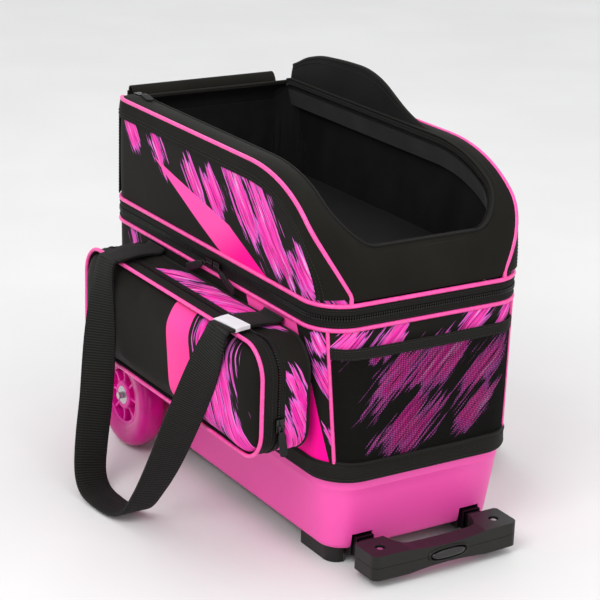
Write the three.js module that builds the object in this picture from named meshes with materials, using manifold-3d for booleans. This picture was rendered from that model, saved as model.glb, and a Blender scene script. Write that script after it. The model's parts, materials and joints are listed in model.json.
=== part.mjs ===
// Two-ball roller bag: moulded tray on wheels, soft ball compartment, clamshell shoe compartment.
// Millimetres, +Z up, +X is the pull-handle end, -Y is the side that carries the accessory pocket.

import * as THREE from 'three';
import { mergeVertices } from 'three/addons/utils/BufferGeometryUtils.js';
import Module from 'manifold-3d';

const wasm = await Module();
wasm.setup();

// Driving dimensions
const BAG_LENGTH = 480;
const BAG_WIDTH = 258;
const CORNER_RADIUS = 41;
const HEM_LENGTH = 500;
const HEM_WIDTH = 236;
const HEM_Z = 105;
const LOWER_PIPING_Z = 269;
const UPPER_PIPING_Z = 295;
const TOP_Z = 415;
const WALL = 4;
const GAP = 0.4;
const EDGE_PIPING_RADIUS = 3;
const ORIGIN_SHIFT_X = -6.4;

// Moulded tray
const TRAY_BOTTOM_Z = 19;
const TRAY_BOTTOM_LENGTH = 473;
const TRAY_BOTTOM_WIDTH = 213;
const TRAY_BOTTOM_RADIUS = 29;
const TRAY_WALL = 3.5;
const TRAY_LIP_HEIGHT = 17;
const TRAY_FLOOR_Z = 38;
const TRAY_FLOOR_THICKNESS = 3;

// Pull handle
const TUBE_Y = 70;
const TUBE_Z = 23.5;
const SLEEVE_SIZE = 25;
const TUBE_WALL = 1.5;
const TUBE_CLEARANCE = 0.3;
const SLEEVE_REAR_X = -226;
const SLEEVE_FRONT_X = 236;
const GRIP_REAR_X = 257;
const GRIP_FRONT_X = 299;
const GRIP_HALF_WIDTH = 93;
const GRIP_BOTTOM_Z = 9;
const GRIP_TOP_Z = 37;
const GRIP_PARTING_Z = 23;
const SCREW_X = 278;
const BAR_DEPTH = 21;
const BAR_SCOOP_DEPTH = 3.5;
const BAR_SCOOP_HALF_WIDTH = 50;
const BUTTON_WIDTH = 44;
const BUTTON_HEIGHT = 10;
const BUTTON_DEPTH = 8;
const BUTTON_PROUD = 3;
const BUTTON_CAVITY_DEPTH = 17;

// Wheels
const WHEEL_RADIUS = 63.5;
const WHEEL_WIDTH = 30;
const WHEEL_X = -165;
const WHEEL_Y = 139;
const HUB_RADIUS = 36;
const BEARING_RADIUS = 11;
const AXLE_RADIUS = 4;

// Accessory pocket on the near side
const POCKET_REAR_X = -180;
const POCKET_FRONT_X = 222;
const POCKET_BOTTOM_Z = 132;
const POCKET_TOP_Z = 256;
const POCKET_OUTER_Y = -193;
const POCKET_INNER_Y = -131.5;
const POCKET_RADIUS = 34;

// Opening of the shoe compartment and its lid
const OPENING_REAR_X = -228;
const OPENING_FRONT_X = 222;
const OPENING_NEAR_Y = -98;
const OPENING_FAR_Y = 107;
const OPENING_RADIUS = 40;
const LID_AXIS_X = -257.5;
const LID_AXIS_Z = 417;
const LID_CREASE_X = 84;
const LID_OPEN_ANGLE = 270;
const LID_FOLD_ANGLE = 151.2;
const LID_LIFT = 0.5;
const LID_MARGIN = 1.5;

// Carry straps
const STRAP_WIDTH = 38;
const STRAP_THICKNESS = 3;
const NEAR_YOKE_Y = -142;
const NEAR_YOKE_Z = 259.5;

const DEGREE = Math.PI / 180;
const CORNER_STEPS = [0, 14, 28, 41, 49, 62, 76, 90];

const colours = {
  trayPink: 0xe44ca5,
  pipingPink: 0xff4fae,
  black: 0x1b1a17,
  charcoal: 0x2b2a26,
  plastic: 0x141414,
  urethane: 0xd81b8f,
  metal: 0x9a9a9a,
  foam: 0x3a3a3a,
  white: 0xe8e8ea,
};

const finishes = {
  fabric: { roughness: 0.85, metalness: 0 },
  moulded: { roughness: 0.4, metalness: 0 },
  metal: { roughness: 0.35, metalness: 0.9 },
};

function mesh(name, geometry, colour, finish) {
  const material = new THREE.MeshStandardMaterial({ color: colours[colour], ...finishes[finish] });
  const item = new THREE.Mesh(geometry, material);
  item.name = name;
  return item;
}

// Solids and booleans

function toSolid(geometry) {
  const bare = geometry.clone();
  bare.deleteAttribute('normal');
  bare.deleteAttribute('uv');
  const merged = mergeVertices(bare, 1e-4);
  const source = new wasm.Mesh({
    numProp: 3,
    vertProperties: new Float32Array(merged.attributes.position.array),
    triVerts: new Uint32Array(merged.index.array),
  });
  return new wasm.Manifold(source);
}

function toGeometry(solid) {
  const result = solid.getMesh();
  const geometry = new THREE.BufferGeometry();
  geometry.setAttribute('position', new THREE.BufferAttribute(result.vertProperties, 3));
  geometry.setIndex(new THREE.BufferAttribute(result.triVerts, 1));
  geometry.computeVertexNormals();
  return geometry;
}

function cut(base, ...tools) {
  return toGeometry(tools.reduce((solid, tool) => solid.subtract(toSolid(tool)), toSolid(base)));
}

function common(base, ...tools) {
  return toGeometry(tools.reduce((solid, tool) => solid.intersect(toSolid(tool)), toSolid(base)));
}

function join(base, ...tools) {
  return toGeometry(tools.reduce((solid, tool) => solid.add(toSolid(tool)), toSolid(base)));
}

function box(x0, x1, y0, y1, z0, z1) {
  const geometry = new THREE.BoxGeometry(x1 - x0, y1 - y0, z1 - z0);
  return geometry.translate((x0 + x1) / 2, (y0 + y1) / 2, (z0 + z1) / 2);
}

function cylinderY(radius, x, z, y0, y1, segments = 24) {
  const geometry = new THREE.CylinderGeometry(radius, radius, y1 - y0, segments);
  return geometry.translate(x, (y0 + y1) / 2, z);
}

function cylinderZ(radius, x, y, z0, z1, segments = 20) {
  const geometry = new THREE.CylinderGeometry(radius, radius, z1 - z0, segments);
  return geometry.rotateX(Math.PI / 2).translate(x, y, (z0 + z1) / 2);
}

// Closed skin through rings of equal length; capped, or joined end to end when it is a loop
function skin(rings, isLoop = false) {
  const count = rings[0].length;
  const positions = rings.flat().flatMap((point) => [point.x, point.y, point.z]);
  const faces = [];
  const bands = isLoop ? rings.length : rings.length - 1;
  for (let band = 0; band < bands; band += 1) {
    const here = band * count;
    const next = ((band + 1) % rings.length) * count;
    for (let side = 0; side < count; side += 1) {
      const after = (side + 1) % count;
      faces.push(here + side, here + after, next + after);
      faces.push(here + side, next + after, next + side);
    }
  }
  if (!isLoop) {
    addCap(faces, rings[0], 0, true);
    addCap(faces, rings[rings.length - 1], (rings.length - 1) * count, false);
  }
  const geometry = new THREE.BufferGeometry();
  geometry.setAttribute('position', new THREE.Float32BufferAttribute(positions, 3));
  geometry.setIndex(faces);
  geometry.computeVertexNormals();
  return outwards(geometry);
}

// Flat end of a skin, triangulated in the plane in which the ring is largest
function addCap(faces, ring, offset, isStart) {
  const normal = new THREE.Vector3();
  ring.forEach((point, index) => {
    const after = ring[(index + 1) % ring.length];
    normal.add(new THREE.Vector3().crossVectors(point, after));
  });
  normal.normalize();
  const across = new THREE.Vector3(0, 0, 1);
  if (Math.abs(normal.z) > 0.7) across.set(1, 0, 0);
  const first = new THREE.Vector3().crossVectors(across, normal).normalize();
  const second = new THREE.Vector3().crossVectors(normal, first);
  const flat = ring.map((point) => new THREE.Vector2(point.dot(first), point.dot(second)));
  for (const [a, b, c] of THREE.ShapeUtils.triangulateShape(flat, [])) {
    if (isStart) faces.push(offset + a, offset + c, offset + b);
    else faces.push(offset + a, offset + b, offset + c);
  }
}

// Turns the faces round when the enclosed volume comes out negative
function outwards(geometry) {
  const index = geometry.index.array;
  const position = geometry.attributes.position;
  const corner = [new THREE.Vector3(), new THREE.Vector3(), new THREE.Vector3()];
  let volume = 0;
  for (let face = 0; face < index.length; face += 3) {
    corner.forEach((point, i) => point.fromBufferAttribute(position, index[face + i]));
    volume += corner[0].dot(corner[1].clone().cross(corner[2]));
  }
  if (volume < 0) {
    for (let face = 0; face < index.length; face += 3) {
      [index[face + 1], index[face + 2]] = [index[face + 2], index[face + 1]];
    }
  }
  return geometry;
}

// Plan outlines: rounded rectangles, anticlockwise from the near front corner

function planPoints(length, width, radius, z) {
  const centres = [[1, -1], [1, 1], [-1, 1], [-1, -1]];
  return centres.flatMap(([sideX, sideY], quarter) => CORNER_STEPS.map((step) => {
    const angle = ((quarter - 1) * 90 + step) * DEGREE;
    return new THREE.Vector3(
      sideX * (length / 2 - radius) + radius * Math.cos(angle),
      sideY * (width / 2 - radius) + radius * Math.sin(angle),
      z,
    );
  }));
}

function planBlock(levels) {
  return skin(levels.map(({ length, width, radius, z }) => planPoints(length, width, radius, z)));
}

function inset({ length, width, radius, z }, by) {
  return { length: length - 2 * by, width: width - 2 * by, radius: radius - by, z };
}

const bagPlan = { length: BAG_LENGTH, width: BAG_WIDTH, radius: CORNER_RADIUS };
const hemPlan = { length: HEM_LENGTH, width: HEM_WIDTH, radius: CORNER_RADIUS, z: HEM_Z };

// Plan of the ball compartment at any height between the hem and the lower piping
function bodyPlanAt(z) {
  const share = (z - HEM_Z) / (LOWER_PIPING_Z - HEM_Z);
  return {
    length: THREE.MathUtils.lerp(HEM_LENGTH, BAG_LENGTH, share),
    width: THREE.MathUtils.lerp(HEM_WIDTH, BAG_WIDTH, share),
    radius: CORNER_RADIUS,
    z,
  };
}

// Level ring that follows a plan; the profile gives [outward, height] corners
function planRing(planAt, profile) {
  const loops = profile.map(([outward, z]) => {
    const { length, width, radius } = inset(planAt(z), -outward);
    return planPoints(length, width, radius, z);
  });
  const rings = loops[0].map((point, index) => loops.map((loop) => loop[index]));
  return skin(rings, true);
}

function roundProfile(radius, z, sides = 8) {
  return Array.from({ length: sides }, (unused, side) => {
    const angle = (side / sides) * 2 * Math.PI;
    return [radius * Math.cos(angle), z + radius * Math.sin(angle)];
  });
}

// Base tray

function baseTray() {
  const foot = {
    length: TRAY_BOTTOM_LENGTH,
    width: TRAY_BOTTOM_WIDTH,
    radius: TRAY_BOTTOM_RADIUS,
    z: TRAY_BOTTOM_Z,
  };
  const shoulder = { ...inset(hemPlan, 1.5), z: HEM_Z - GAP };
  const lip = inset(hemPlan, WALL + 1.5);
  const lipTop = { ...lip, z: HEM_Z + TRAY_LIP_HEIGHT };
  const outer = planBlock([foot, shoulder, { ...lip, z: HEM_Z - GAP + 0.01 }, lipTop]);
  const floorZ = TRAY_FLOOR_Z + TRAY_FLOOR_THICKNESS;
  const hollowFoot = { ...inset(foot, TRAY_WALL), z: floorZ };
  const hollow = planBlock([
    hollowFoot,
    { ...inset(lip, TRAY_WALL), z: HEM_Z - 6 },
    { ...inset(lipTop, TRAY_WALL), z: HEM_Z + TRAY_LIP_HEIGHT + 1 },
  ]);
  const recess = planBlock([
    { ...inset(foot, TRAY_WALL), z: TRAY_BOTTOM_Z - 1 },
    { ...inset(foot, TRAY_WALL), z: TRAY_FLOOR_Z },
  ]);
  const notches = [-1, 1].map((side) => {
    const half = SLEEVE_SIZE / 2 + GAP;
    const y = side * TUBE_Y;
    return box(0, HEM_LENGTH / 2 + 5, y - half, y + half, TRAY_BOTTOM_Z - 1, TUBE_Z + half);
  });
  const tub = cut(outer, hollow, recess, ...notches);
  const bored = cut(join(tub, ...axleBosses()), axleBore());
  return mesh('base_tray', bored, 'trayPink', 'moulded');
}

// Plates and bosses moulded on the tray's sides to carry the wheel axles
function axleBosses() {
  return [-1, 1].flatMap((side) => {
    const [plateIn, plateOut, bossOut] = [108, 117.5, WHEEL_Y - WHEEL_WIDTH / 2 - 1.2];
    const plateEnds = side < 0 ? [-plateOut, -plateIn] : [plateIn, plateOut];
    const bossEnds = side < 0 ? [-bossOut, -plateOut + 1] : [plateOut - 1, bossOut];
    return [
      box(WHEEL_X - 30, WHEEL_X + 30, ...plateEnds, WHEEL_RADIUS - 19, WHEEL_RADIUS + 19),
      cylinderY(14, WHEEL_X, WHEEL_RADIUS, ...bossEnds),
    ];
  });
}

function axleBore() {
  return cylinderY(AXLE_RADIUS + GAP, WHEEL_X, WHEEL_RADIUS, -HEM_WIDTH, HEM_WIDTH, 16);
}

function foot(side) {
  const outline = new THREE.Shape();
  const [x0, x1, y0, y1, radius] = [165, 226, 84, 100, 15.5];
  outline.moveTo(x0, y0);
  outline.lineTo(x1, y0);
  outline.lineTo(x1, y1 - radius);
  outline.absarc(x1 - radius, y1 - radius, radius, 0, Math.PI / 2, false);
  outline.lineTo(x0, y1);
  const geometry = new THREE.ExtrudeGeometry(outline, {
    depth: TRAY_FLOOR_Z - GAP, bevelEnabled: false, curveSegments: 5,
  });
  if (side < 0) mirrorY(geometry);
  return mesh(side < 0 ? 'foot_near' : 'foot_far', geometry, 'plastic', 'moulded');
}

function mirrorY(geometry) {
  geometry.scale(1, -1, 1);
  const index = geometry.index;
  const position = geometry.attributes.position;
  if (index) {
    for (let face = 0; face < index.count; face += 3) {
      const kept = index.getX(face + 1);
      index.setX(face + 1, index.getX(face + 2));
      index.setX(face + 2, kept);
    }
    return geometry;
  }
  const second = new THREE.Vector3();
  const third = new THREE.Vector3();
  for (let face = 0; face < position.count; face += 3) {
    second.fromBufferAttribute(position, face + 1);
    third.fromBufferAttribute(position, face + 2);
    position.setXYZ(face + 1, third.x, third.y, third.z);
    position.setXYZ(face + 2, second.x, second.y, second.z);
  }
  geometry.computeVertexNormals();
  return geometry;
}

// Ball compartment: four fabric panels that meet at piped corners

const panelSides = ['front', 'far', 'rear', 'near'];

function bodyPanel(side) {
  const quarter = panelSides.indexOf(side);
  const perCorner = CORNER_STEPS.length;
  const half = perCorner / 2;
  const start = quarter * perCorner + half;
  const picks = Array.from({ length: perCorner }, (unused, step) => (start + step) % (4 * perCorner));
  const ringAt = (z) => {
    const { length, width, radius } = bodyPlanAt(z);
    const outside = planPoints(length, width, radius, z);
    const inside = planPoints(length - 2 * WALL, width - 2 * WALL, radius - WALL, z);
    return [...picks.map((i) => outside[i]), ...picks.map((i) => inside[i]).reverse()];
  };
  const geometry = skin([ringAt(HEM_Z), ringAt(LOWER_PIPING_Z - 3.6)]);
  return mesh(`body_panel_${side}`, geometry, 'charcoal', 'fabric');
}

function baseBinding() {
  const bottom = HEM_Z - 2;
  const top = HEM_Z + 19;
  const profile = [[GAP, bottom], [3, bottom], [3, top], [GAP, top]];
  return mesh('base_binding', planRing(bodyPlanAt, profile), 'black', 'fabric');
}

function bandRing(name, inward, outward, z0, z1) {
  const profile = [[inward, z0], [outward, z0], [outward, z1], [inward, z1]];
  return mesh(name, planRing(() => bagPlan, profile), 'black', 'fabric');
}

function pipingRing(name, z) {
  return mesh(name, planRing(() => bagPlan, roundProfile(3, z)), 'pipingPink', 'moulded');
}

function hingeStrip() {
  const half = BAG_LENGTH / 2 - CORNER_RADIUS - 10;
  const y = BAG_WIDTH / 2;
  const geometry = box(-half, half, y + 2.4, y + 4, LOWER_PIPING_Z + 5, LOWER_PIPING_Z + 12);
  return mesh('clamshell_hinge_strip', geometry, 'black', 'fabric');
}

function ballCup(side) {
  const floorZ = TRAY_FLOOR_Z + TRAY_FLOOR_THICKNESS + GAP;
  const ballRadius = 110;
  const centreX = side * 114;
  const block = box(centreX - 106, centreX + 106, -99, 99, floorZ, floorZ + 52);
  const ball = new THREE.SphereGeometry(ballRadius, 24, 16).rotateX(Math.PI / 2);
  ball.translate(centreX, 0, floorZ + ballRadius + 4);
  return mesh(side < 0 ? 'ball_cup_rear' : 'ball_cup_front', cut(block, ball), 'foam', 'fabric');
}

function ballDivider() {
  return mesh('ball_divider', box(-4, 4, -106, 106, 95, 288), 'black', 'fabric');
}

// Mesh pocket on the handle end

function meshPocket() {
  const wallX = (z) => bodyPlanAt(z).length / 2;
  const [halfWidth, bottom, top, bulge] = [98, 128, 250, 11];
  const prism = (half, z0, z1, inner, outer) => skin([z0, z1].map((z) => [
    new THREE.Vector3(wallX(z) + inner, -half, z),
    new THREE.Vector3(wallX(z) + outer, -half, z),
    new THREE.Vector3(wallX(z) + outer, half, z),
    new THREE.Vector3(wallX(z) + inner, half, z),
  ]));
  const shell = cut(
    prism(halfWidth, bottom, top, GAP, bulge),
    prism(halfWidth - 3, bottom + 3, top + 1, -2, bulge - 1.6),
  );
  return mesh('mesh_pocket', shell, 'black', 'fabric');
}

// Accessory pocket on the near side

function pocketOutline(by) {
  const [x0, x1] = [POCKET_REAR_X + by, POCKET_FRONT_X - by];
  const [z0, z1] = [POCKET_BOTTOM_Z + by, POCKET_TOP_Z - by];
  const radius = POCKET_RADIUS - by;
  const outline = new THREE.Shape();
  outline.absarc(x1 - radius, z1 - radius, radius, 0, Math.PI / 2, false);
  outline.absarc(x0 + radius, z1 - radius, radius, Math.PI / 2, Math.PI, false);
  outline.absarc(x0 + radius, z0 + radius, radius, Math.PI, 1.5 * Math.PI, false);
  outline.absarc(x1 - radius, z0 + radius, radius, 1.5 * Math.PI, 2 * Math.PI, false);
  return outline;
}

// Extrudes an outline drawn in x and z between two depths along y
function slabXZ(outline, y0, y1, curveSegments = 6) {
  const geometry = new THREE.ExtrudeGeometry(outline, {
    depth: y1 - y0, bevelEnabled: false, curveSegments,
  });
  return geometry.rotateX(Math.PI / 2).translate(0, y1, 0);
}

function pocketRing(name, outer, inner, y0, y1, colour) {
  const geometry = cut(
    slabXZ(pocketOutline(outer), y0, y1),
    slabXZ(pocketOutline(inner), y0 - 1, y1 + 1),
  );
  return mesh(name, geometry, colour, colour === 'pipingPink' ? 'moulded' : 'fabric');
}

function accessoryPocket() {
  const zipY = POCKET_OUTER_Y + 24;
  const cover = cut(
    slabXZ(pocketOutline(0), POCKET_OUTER_Y, zipY - 4.3),
    slabXZ(pocketOutline(3), POCKET_OUTER_Y + WALL, zipY),
  );
  return [
    mesh('pocket_front_cover', cover, 'charcoal', 'fabric'),
    pocketRing('pocket_zipper', -1, 2, zipY - 4, zipY + 4, 'black'),
    pocketRing('pocket_rear_gusset', 0, 3, zipY + 4.3, POCKET_INNER_Y, 'charcoal'),
  ];
}

// Shoe compartment: profile seen from the side, from the rear foot over the top to the front foot

function topProfile() {
  const profile = new THREE.Path();
  const radius = 22;
  const [rearX, frontX] = [-BAG_LENGTH / 2, BAG_LENGTH / 2];
  profile.moveTo(rearX, UPPER_PIPING_Z);
  profile.lineTo(rearX, TOP_Z - radius);
  profile.absarc(rearX + radius, TOP_Z - radius, radius, Math.PI, Math.PI / 2, true);
  profile.lineTo(85, TOP_Z);
  profile.bezierCurveTo(180, TOP_Z, frontX - 4, 362, frontX, UPPER_PIPING_Z);
  return profile.getPoints(8);
}

// Moves each profile point along its outward normal
function offsetProfile(points, by) {
  return points.map((point, index) => {
    const before = points[Math.max(index - 1, 0)];
    const after = points[Math.min(index + 1, points.length - 1)];
    const along = after.clone().sub(before).normalize();
    return new THREE.Vector2(point.x - along.y * by, point.y + along.x * by);
  });
}

function profileSolid(by, y0, y1, z0) {
  const outline = offsetProfile(topProfile(), by);
  outline[0].y = z0;
  outline[outline.length - 1].y = z0;
  return slabXZ(new THREE.Shape(outline), y0, y1);
}

const PANEL_FOOT_Z = UPPER_PIPING_Z + 3.6;
const EDGE_PIPING_FOOT_Z = PANEL_FOOT_Z + 2;

function planColumn(by, z0, z1) {
  return planBlock([inset({ ...bagPlan, z: z0 }, by), inset({ ...bagPlan, z: z1 }, by)]);
}

function topSidePanel(side) {
  const bottom = PANEL_FOOT_Z;
  const wall = cut(planColumn(0, bottom, TOP_Z), planColumn(WALL, bottom - 1, TOP_Z + 1));
  const trimmed = common(wall, profileSolid(-WALL - GAP, -BAG_WIDTH, BAG_WIDTH, bottom - 1));
  const innerY = 90;
  const ends = side < 0 ? [-BAG_WIDTH, -innerY] : [innerY, BAG_WIDTH];
  const geometry = common(trimmed, box(-BAG_LENGTH, BAG_LENGTH, ...ends, bottom - 1, TOP_Z));
  return mesh(side < 0 ? 'top_panel_near' : 'top_panel_far', geometry, 'charcoal', 'fabric');
}

// Edge line where the side panel meets the gusset: the profile lifted onto the rounded plan
function edgePoint(point, side) {
  const flatHalf = BAG_LENGTH / 2 - CORNER_RADIUS;
  const beyond = Math.min(Math.max(Math.abs(point.x) - flatHalf, 0), CORNER_RADIUS - 1);
  const bow = CORNER_RADIUS - Math.sqrt(CORNER_RADIUS ** 2 - beyond ** 2);
  return new THREE.Vector3(point.x, side * (BAG_WIDTH / 2 - bow), point.y);
}

// Round tube along the edge line, with a ring of corners at each point of the profile
function edgeTube(side, radius, footZ) {
  const profile = topProfile();
  profile[0].y = footZ;
  profile[profile.length - 1].y = footZ;
  const points = profile.map((point) => edgePoint(point, side));
  const sides = 8;
  return skin(points.map((point, index) => {
    const before = points[Math.max(index - 1, 0)];
    const after = points[Math.min(index + 1, points.length - 1)];
    const along = after.clone().sub(before).normalize();
    const outward = new THREE.Vector3(0, side, 0).addScaledVector(along, -side * along.y).normalize();
    const across = new THREE.Vector3().crossVectors(along, outward);
    return Array.from({ length: sides }, (unused, step) => {
      const angle = (step / sides) * 2 * Math.PI;
      return point.clone()
        .addScaledVector(outward, radius * Math.cos(angle))
        .addScaledVector(across, radius * Math.sin(angle));
    });
  }));
}

function edgePiping(side) {
  const geometry = edgeTube(side, EDGE_PIPING_RADIUS, EDGE_PIPING_FOOT_Z);
  return mesh(side < 0 ? 'edge_piping_near' : 'edge_piping_far', geometry, 'pipingPink', 'moulded');
}

// Vertical column over the opening; the inset makes the lid a little smaller than its hole
function openingColumn(by, rearX, z0, z1) {
  const [x1, y0, y1] = [OPENING_FRONT_X - by, OPENING_NEAR_Y + by, OPENING_FAR_Y - by];
  const radius = OPENING_RADIUS - by;
  const outline = new THREE.Shape();
  outline.moveTo(rearX, y1);
  outline.lineTo(rearX, y0);
  outline.absarc(x1 - radius, y0 + radius, radius, 1.5 * Math.PI, 2 * Math.PI, false);
  outline.absarc(x1 - radius, y1 - radius, radius, 0, Math.PI / 2, false);
  const geometry = new THREE.ExtrudeGeometry(outline, {
    depth: z1 - z0, bevelEnabled: false, curveSegments: 6,
  });
  return geometry.translate(0, 0, z0);
}

function topGussets() {
  const bottom = PANEL_FOOT_Z;
  const half = BAG_WIDTH / 2;
  const shell = cut(
    profileSolid(0, -half, half, bottom),
    profileSolid(-WALL, -half - 1, half + 1, bottom - 1),
    openingColumn(0, OPENING_REAR_X, bottom, TOP_Z + 5),
  );
  const whole = common(shell, planColumn(0, bottom - 1, TOP_Z + 1));
  const grooveRadius = EDGE_PIPING_RADIUS + 2 * GAP;
  const grooves = [-1, 1].map((side) => edgeTube(side, grooveRadius, EDGE_PIPING_FOOT_Z - GAP));
  const body = cut(whole, ...grooves);
  const rearX = -222;
  const piece = (x0, x1) => common(body, box(x0, x1, -half, half, bottom - 1, TOP_Z + 1));
  return [
    mesh('top_gusset', join(piece(rearX, BAG_LENGTH), farFlap()), 'charcoal', 'fabric'),
    mesh('top_rear_panel', piece(-BAG_LENGTH, rearX - GAP), 'charcoal', 'fabric'),
  ];
}

// Zipper flap that stands up along the far edge of the opening
function farFlap() {
  const outline = new THREE.Shape();
  outline.moveTo(-221, TOP_Z - 2);
  outline.lineTo(64, TOP_Z - 2);
  outline.bezierCurveTo(20, TOP_Z + 4, -10, TOP_Z + 44, -60, TOP_Z + 44);
  outline.bezierCurveTo(-140, TOP_Z + 46, -190, TOP_Z + 34, -221, TOP_Z + 14);
  return slabXZ(outline, OPENING_FAR_Y + 1, OPENING_FAR_Y + 4);
}

function shoeFloor() {
  const levels = [UPPER_PIPING_Z - 1, UPPER_PIPING_Z + 3].map((z) => inset({ ...bagPlan, z }, 5));
  return mesh('shoe_floor_panel', planBlock(levels), 'black', 'fabric');
}

// Lid of the shoe compartment, drawn closed and then turned open about its hinge

function lidDeck() {
  const [deckZ, deckTopZ] = [TOP_Z + LID_LIFT, TOP_Z + LID_LIFT + WALL];
  const rearX = LID_AXIS_X + 4;
  const [nearY, farY] = [OPENING_NEAR_Y + LID_MARGIN, OPENING_FAR_Y - LID_MARGIN];
  return box(rearX, LID_CREASE_X, nearY, farY, deckZ, deckTopZ);
}

function lidBend() {
  const inner = profileSolid(LID_LIFT, -BAG_WIDTH, BAG_WIDTH, UPPER_PIPING_Z);
  const outer = profileSolid(LID_LIFT + WALL, -BAG_WIDTH, BAG_WIDTH, UPPER_PIPING_Z);
  const column = openingColumn(LID_MARGIN, LID_CREASE_X + GAP, UPPER_PIPING_Z, TOP_Z + 20);
  return common(cut(outer, inner), column);
}

function lid() {
  const rear = new THREE.Group();
  rear.position.set(LID_AXIS_X, 0, LID_AXIS_Z);
  rear.rotation.y = -LID_OPEN_ANGLE * DEGREE;
  const rearPanel = lidDeck();
  rearPanel.translate(-LID_AXIS_X, 0, -LID_AXIS_Z);
  rear.add(mesh('lid_rear_panel', rearPanel, 'charcoal', 'fabric'));

  const creaseX = LID_CREASE_X + 0.2;
  const creaseZ = TOP_Z + LID_LIFT - 0.2;
  const front = new THREE.Group();
  front.position.set(creaseX - LID_AXIS_X, 0, creaseZ - LID_AXIS_Z);
  front.rotation.y = LID_FOLD_ANGLE * DEGREE;
  const frontPanel = lidBend();
  frontPanel.translate(-creaseX, 0, -creaseZ);
  front.add(mesh('lid_front_panel', frontPanel, 'charcoal', 'fabric'));
  rear.add(front);
  return rear;
}

// Fabric roll that carries the lid along the rear edge
function lidHingeRoll() {
  const geometry = box(-247, -242.5, -92, 92, TOP_Z - 36, TOP_Z - 22);
  return mesh('lid_hinge_strip', geometry, 'black', 'fabric');
}

// Zipper sliders and pull tabs

// Box from its lowest corner and its size
function sliderBox(name, [x, y, z], [length, depth, height]) {
  return mesh(name, box(x, x + length, y, y + depth, z, z + height), 'metal', 'metal');
}

function pullTab(name, start, direction, across, length) {
  const along = new THREE.Vector3(...direction).normalize();
  const side = new THREE.Vector3(...across).normalize();
  const normal = new THREE.Vector3().crossVectors(along, side);
  const corners = [[-1, -1], [1, -1], [1, 1], [-1, 1]];
  const ring = (distance, halfWidth) => corners.map(([u, v]) => new THREE.Vector3(...start)
    .addScaledVector(along, distance)
    .addScaledVector(side, u * halfWidth)
    .addScaledVector(normal, v));
  const [neck, grip] = [2.6, 4.5];
  const rings = [ring(0, neck), ring(length * 0.3, neck), ring(length * 0.45, grip), ring(length, grip)];
  const geometry = skin(rings);
  return mesh(name, geometry, 'black', 'moulded');
}

function zippers() {
  const [length, height, depth] = [14, 9, 3];
  const mainY = -BAG_WIDTH / 2 - 7.6;
  const mainZ = (LOWER_PIPING_Z + UPPER_PIPING_Z) / 2;
  const mainSlider = (name, x) => sliderBox(name, [x, mainY, mainZ - height / 2], [length, depth, height]);
  const mainStart = (x) => [x, mainY - 1.5, mainZ - 2];
  const pocketY = POCKET_OUTER_Y + 24;
  const pocketCorner = [POCKET_FRONT_X + 1.4, pocketY - height / 2, 166];
  const lidCorner = [-221, OPENING_NEAR_Y - 9, TOP_Z + GAP];
  return [
    mainSlider('main_slider_left', 9),
    pullTab('main_pull_left', mainStart(9), [-0.92, 0, -0.38], [0.38, 0, -0.92], 44),
    mainSlider('main_slider_right', 25),
    pullTab('main_pull_right', mainStart(39), [0.92, 0, -0.38], [0.38, 0, 0.92], 40),
    sliderBox('pocket_slider', pocketCorner, [depth, height, length]),
    pullTab('pocket_pull', [POCKET_FRONT_X + 6, pocketY, 172], [0, 0.15, -1], [0, 1, 0.15], 34),
    sliderBox('lid_slider', lidCorner, [length, height - 1, depth]),
    pullTab('lid_pull', [-206, OPENING_NEAR_Y - 5, TOP_Z + 4.8], [1, -0.2, 0], [0.2, 1, 0], 34),
  ];
}

// Webbing straps

// Flat band through points; each point is [x, y, z, turn of the width away from the x axis]
function webbing(points, width = STRAP_WIDTH, thickness = STRAP_THICKNESS) {
  const places = points.map(([x, y, z]) => new THREE.Vector3(x, y, z));
  const rings = places.map((place, index) => {
    const before = places[Math.max(index - 1, 0)];
    const after = places[Math.min(index + 1, places.length - 1)];
    const along = after.clone().sub(before).normalize();
    const turn = (points[index][3] || 0) * DEGREE;
    const across = new THREE.Vector3(Math.cos(turn), Math.sin(turn), 0);
    across.addScaledVector(along, -across.dot(along)).normalize();
    const normal = new THREE.Vector3().crossVectors(along, across);
    return [[-1, -1], [1, -1], [1, 1], [-1, 1]].map(([u, v]) => place.clone()
      .addScaledVector(across, (u * width) / 2)
      .addScaledVector(normal, (v * thickness) / 2));
  });
  return skin(rings);
}

// Eases a hand-placed route, so that the webbing bends without corners
function easedRoute(route, steps = 36) {
  const curve = new THREE.CatmullRomCurve3(route.map(([x, y, z]) => new THREE.Vector3(x, y, z)));
  const turns = new THREE.CatmullRomCurve3(route.map((place) => new THREE.Vector3(place[3], 0, 0)));
  return Array.from({ length: steps + 1 }, (unused, step) => {
    const place = curve.getPoint(step / steps);
    return [place.x, place.y, place.z, turns.getPoint(step / steps).x];
  });
}

function strap(name, route) {
  return mesh(name, webbing(route), 'black', 'fabric');
}

function nearStrap() {
  const loop = [
    [153, -204.5, 255, 0], [150, -208, 238, 10], [130, -213, 190, 35], [102, -217, 135, 55],
    [74, -222, 80, 72], [52, -228, 40, 85], [34, -234, 14, 90], [12, -240, 5, 90],
    [-20, -244, 4.5, 90], [-46, -245, 9, 90], [-62, -243, 26, 88], [-72, -236, 60, 76],
    [-80, -226, 110, 62], [-90, -217, 170, 42], [-99, -208, 238, 8], [-101, -204.5, 255, 0],
  ];
  const top = (x, drift) => [
    [x, NEAR_YOKE_Y, NEAR_YOKE_Z], [x, NEAR_YOKE_Y - 8, NEAR_YOKE_Z + 1.5],
    [x + drift / 2, -170, NEAR_YOKE_Z + 3.5], [x + drift, -199, NEAR_YOKE_Z + 2],
  ];
  return [
    strap('strap_near_rear_top', top(-114, 12)),
    strap('strap_near_front_top', top(147, 6)),
    strap('strap_near_loop', easedRoute(loop)),
  ];
}

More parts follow.
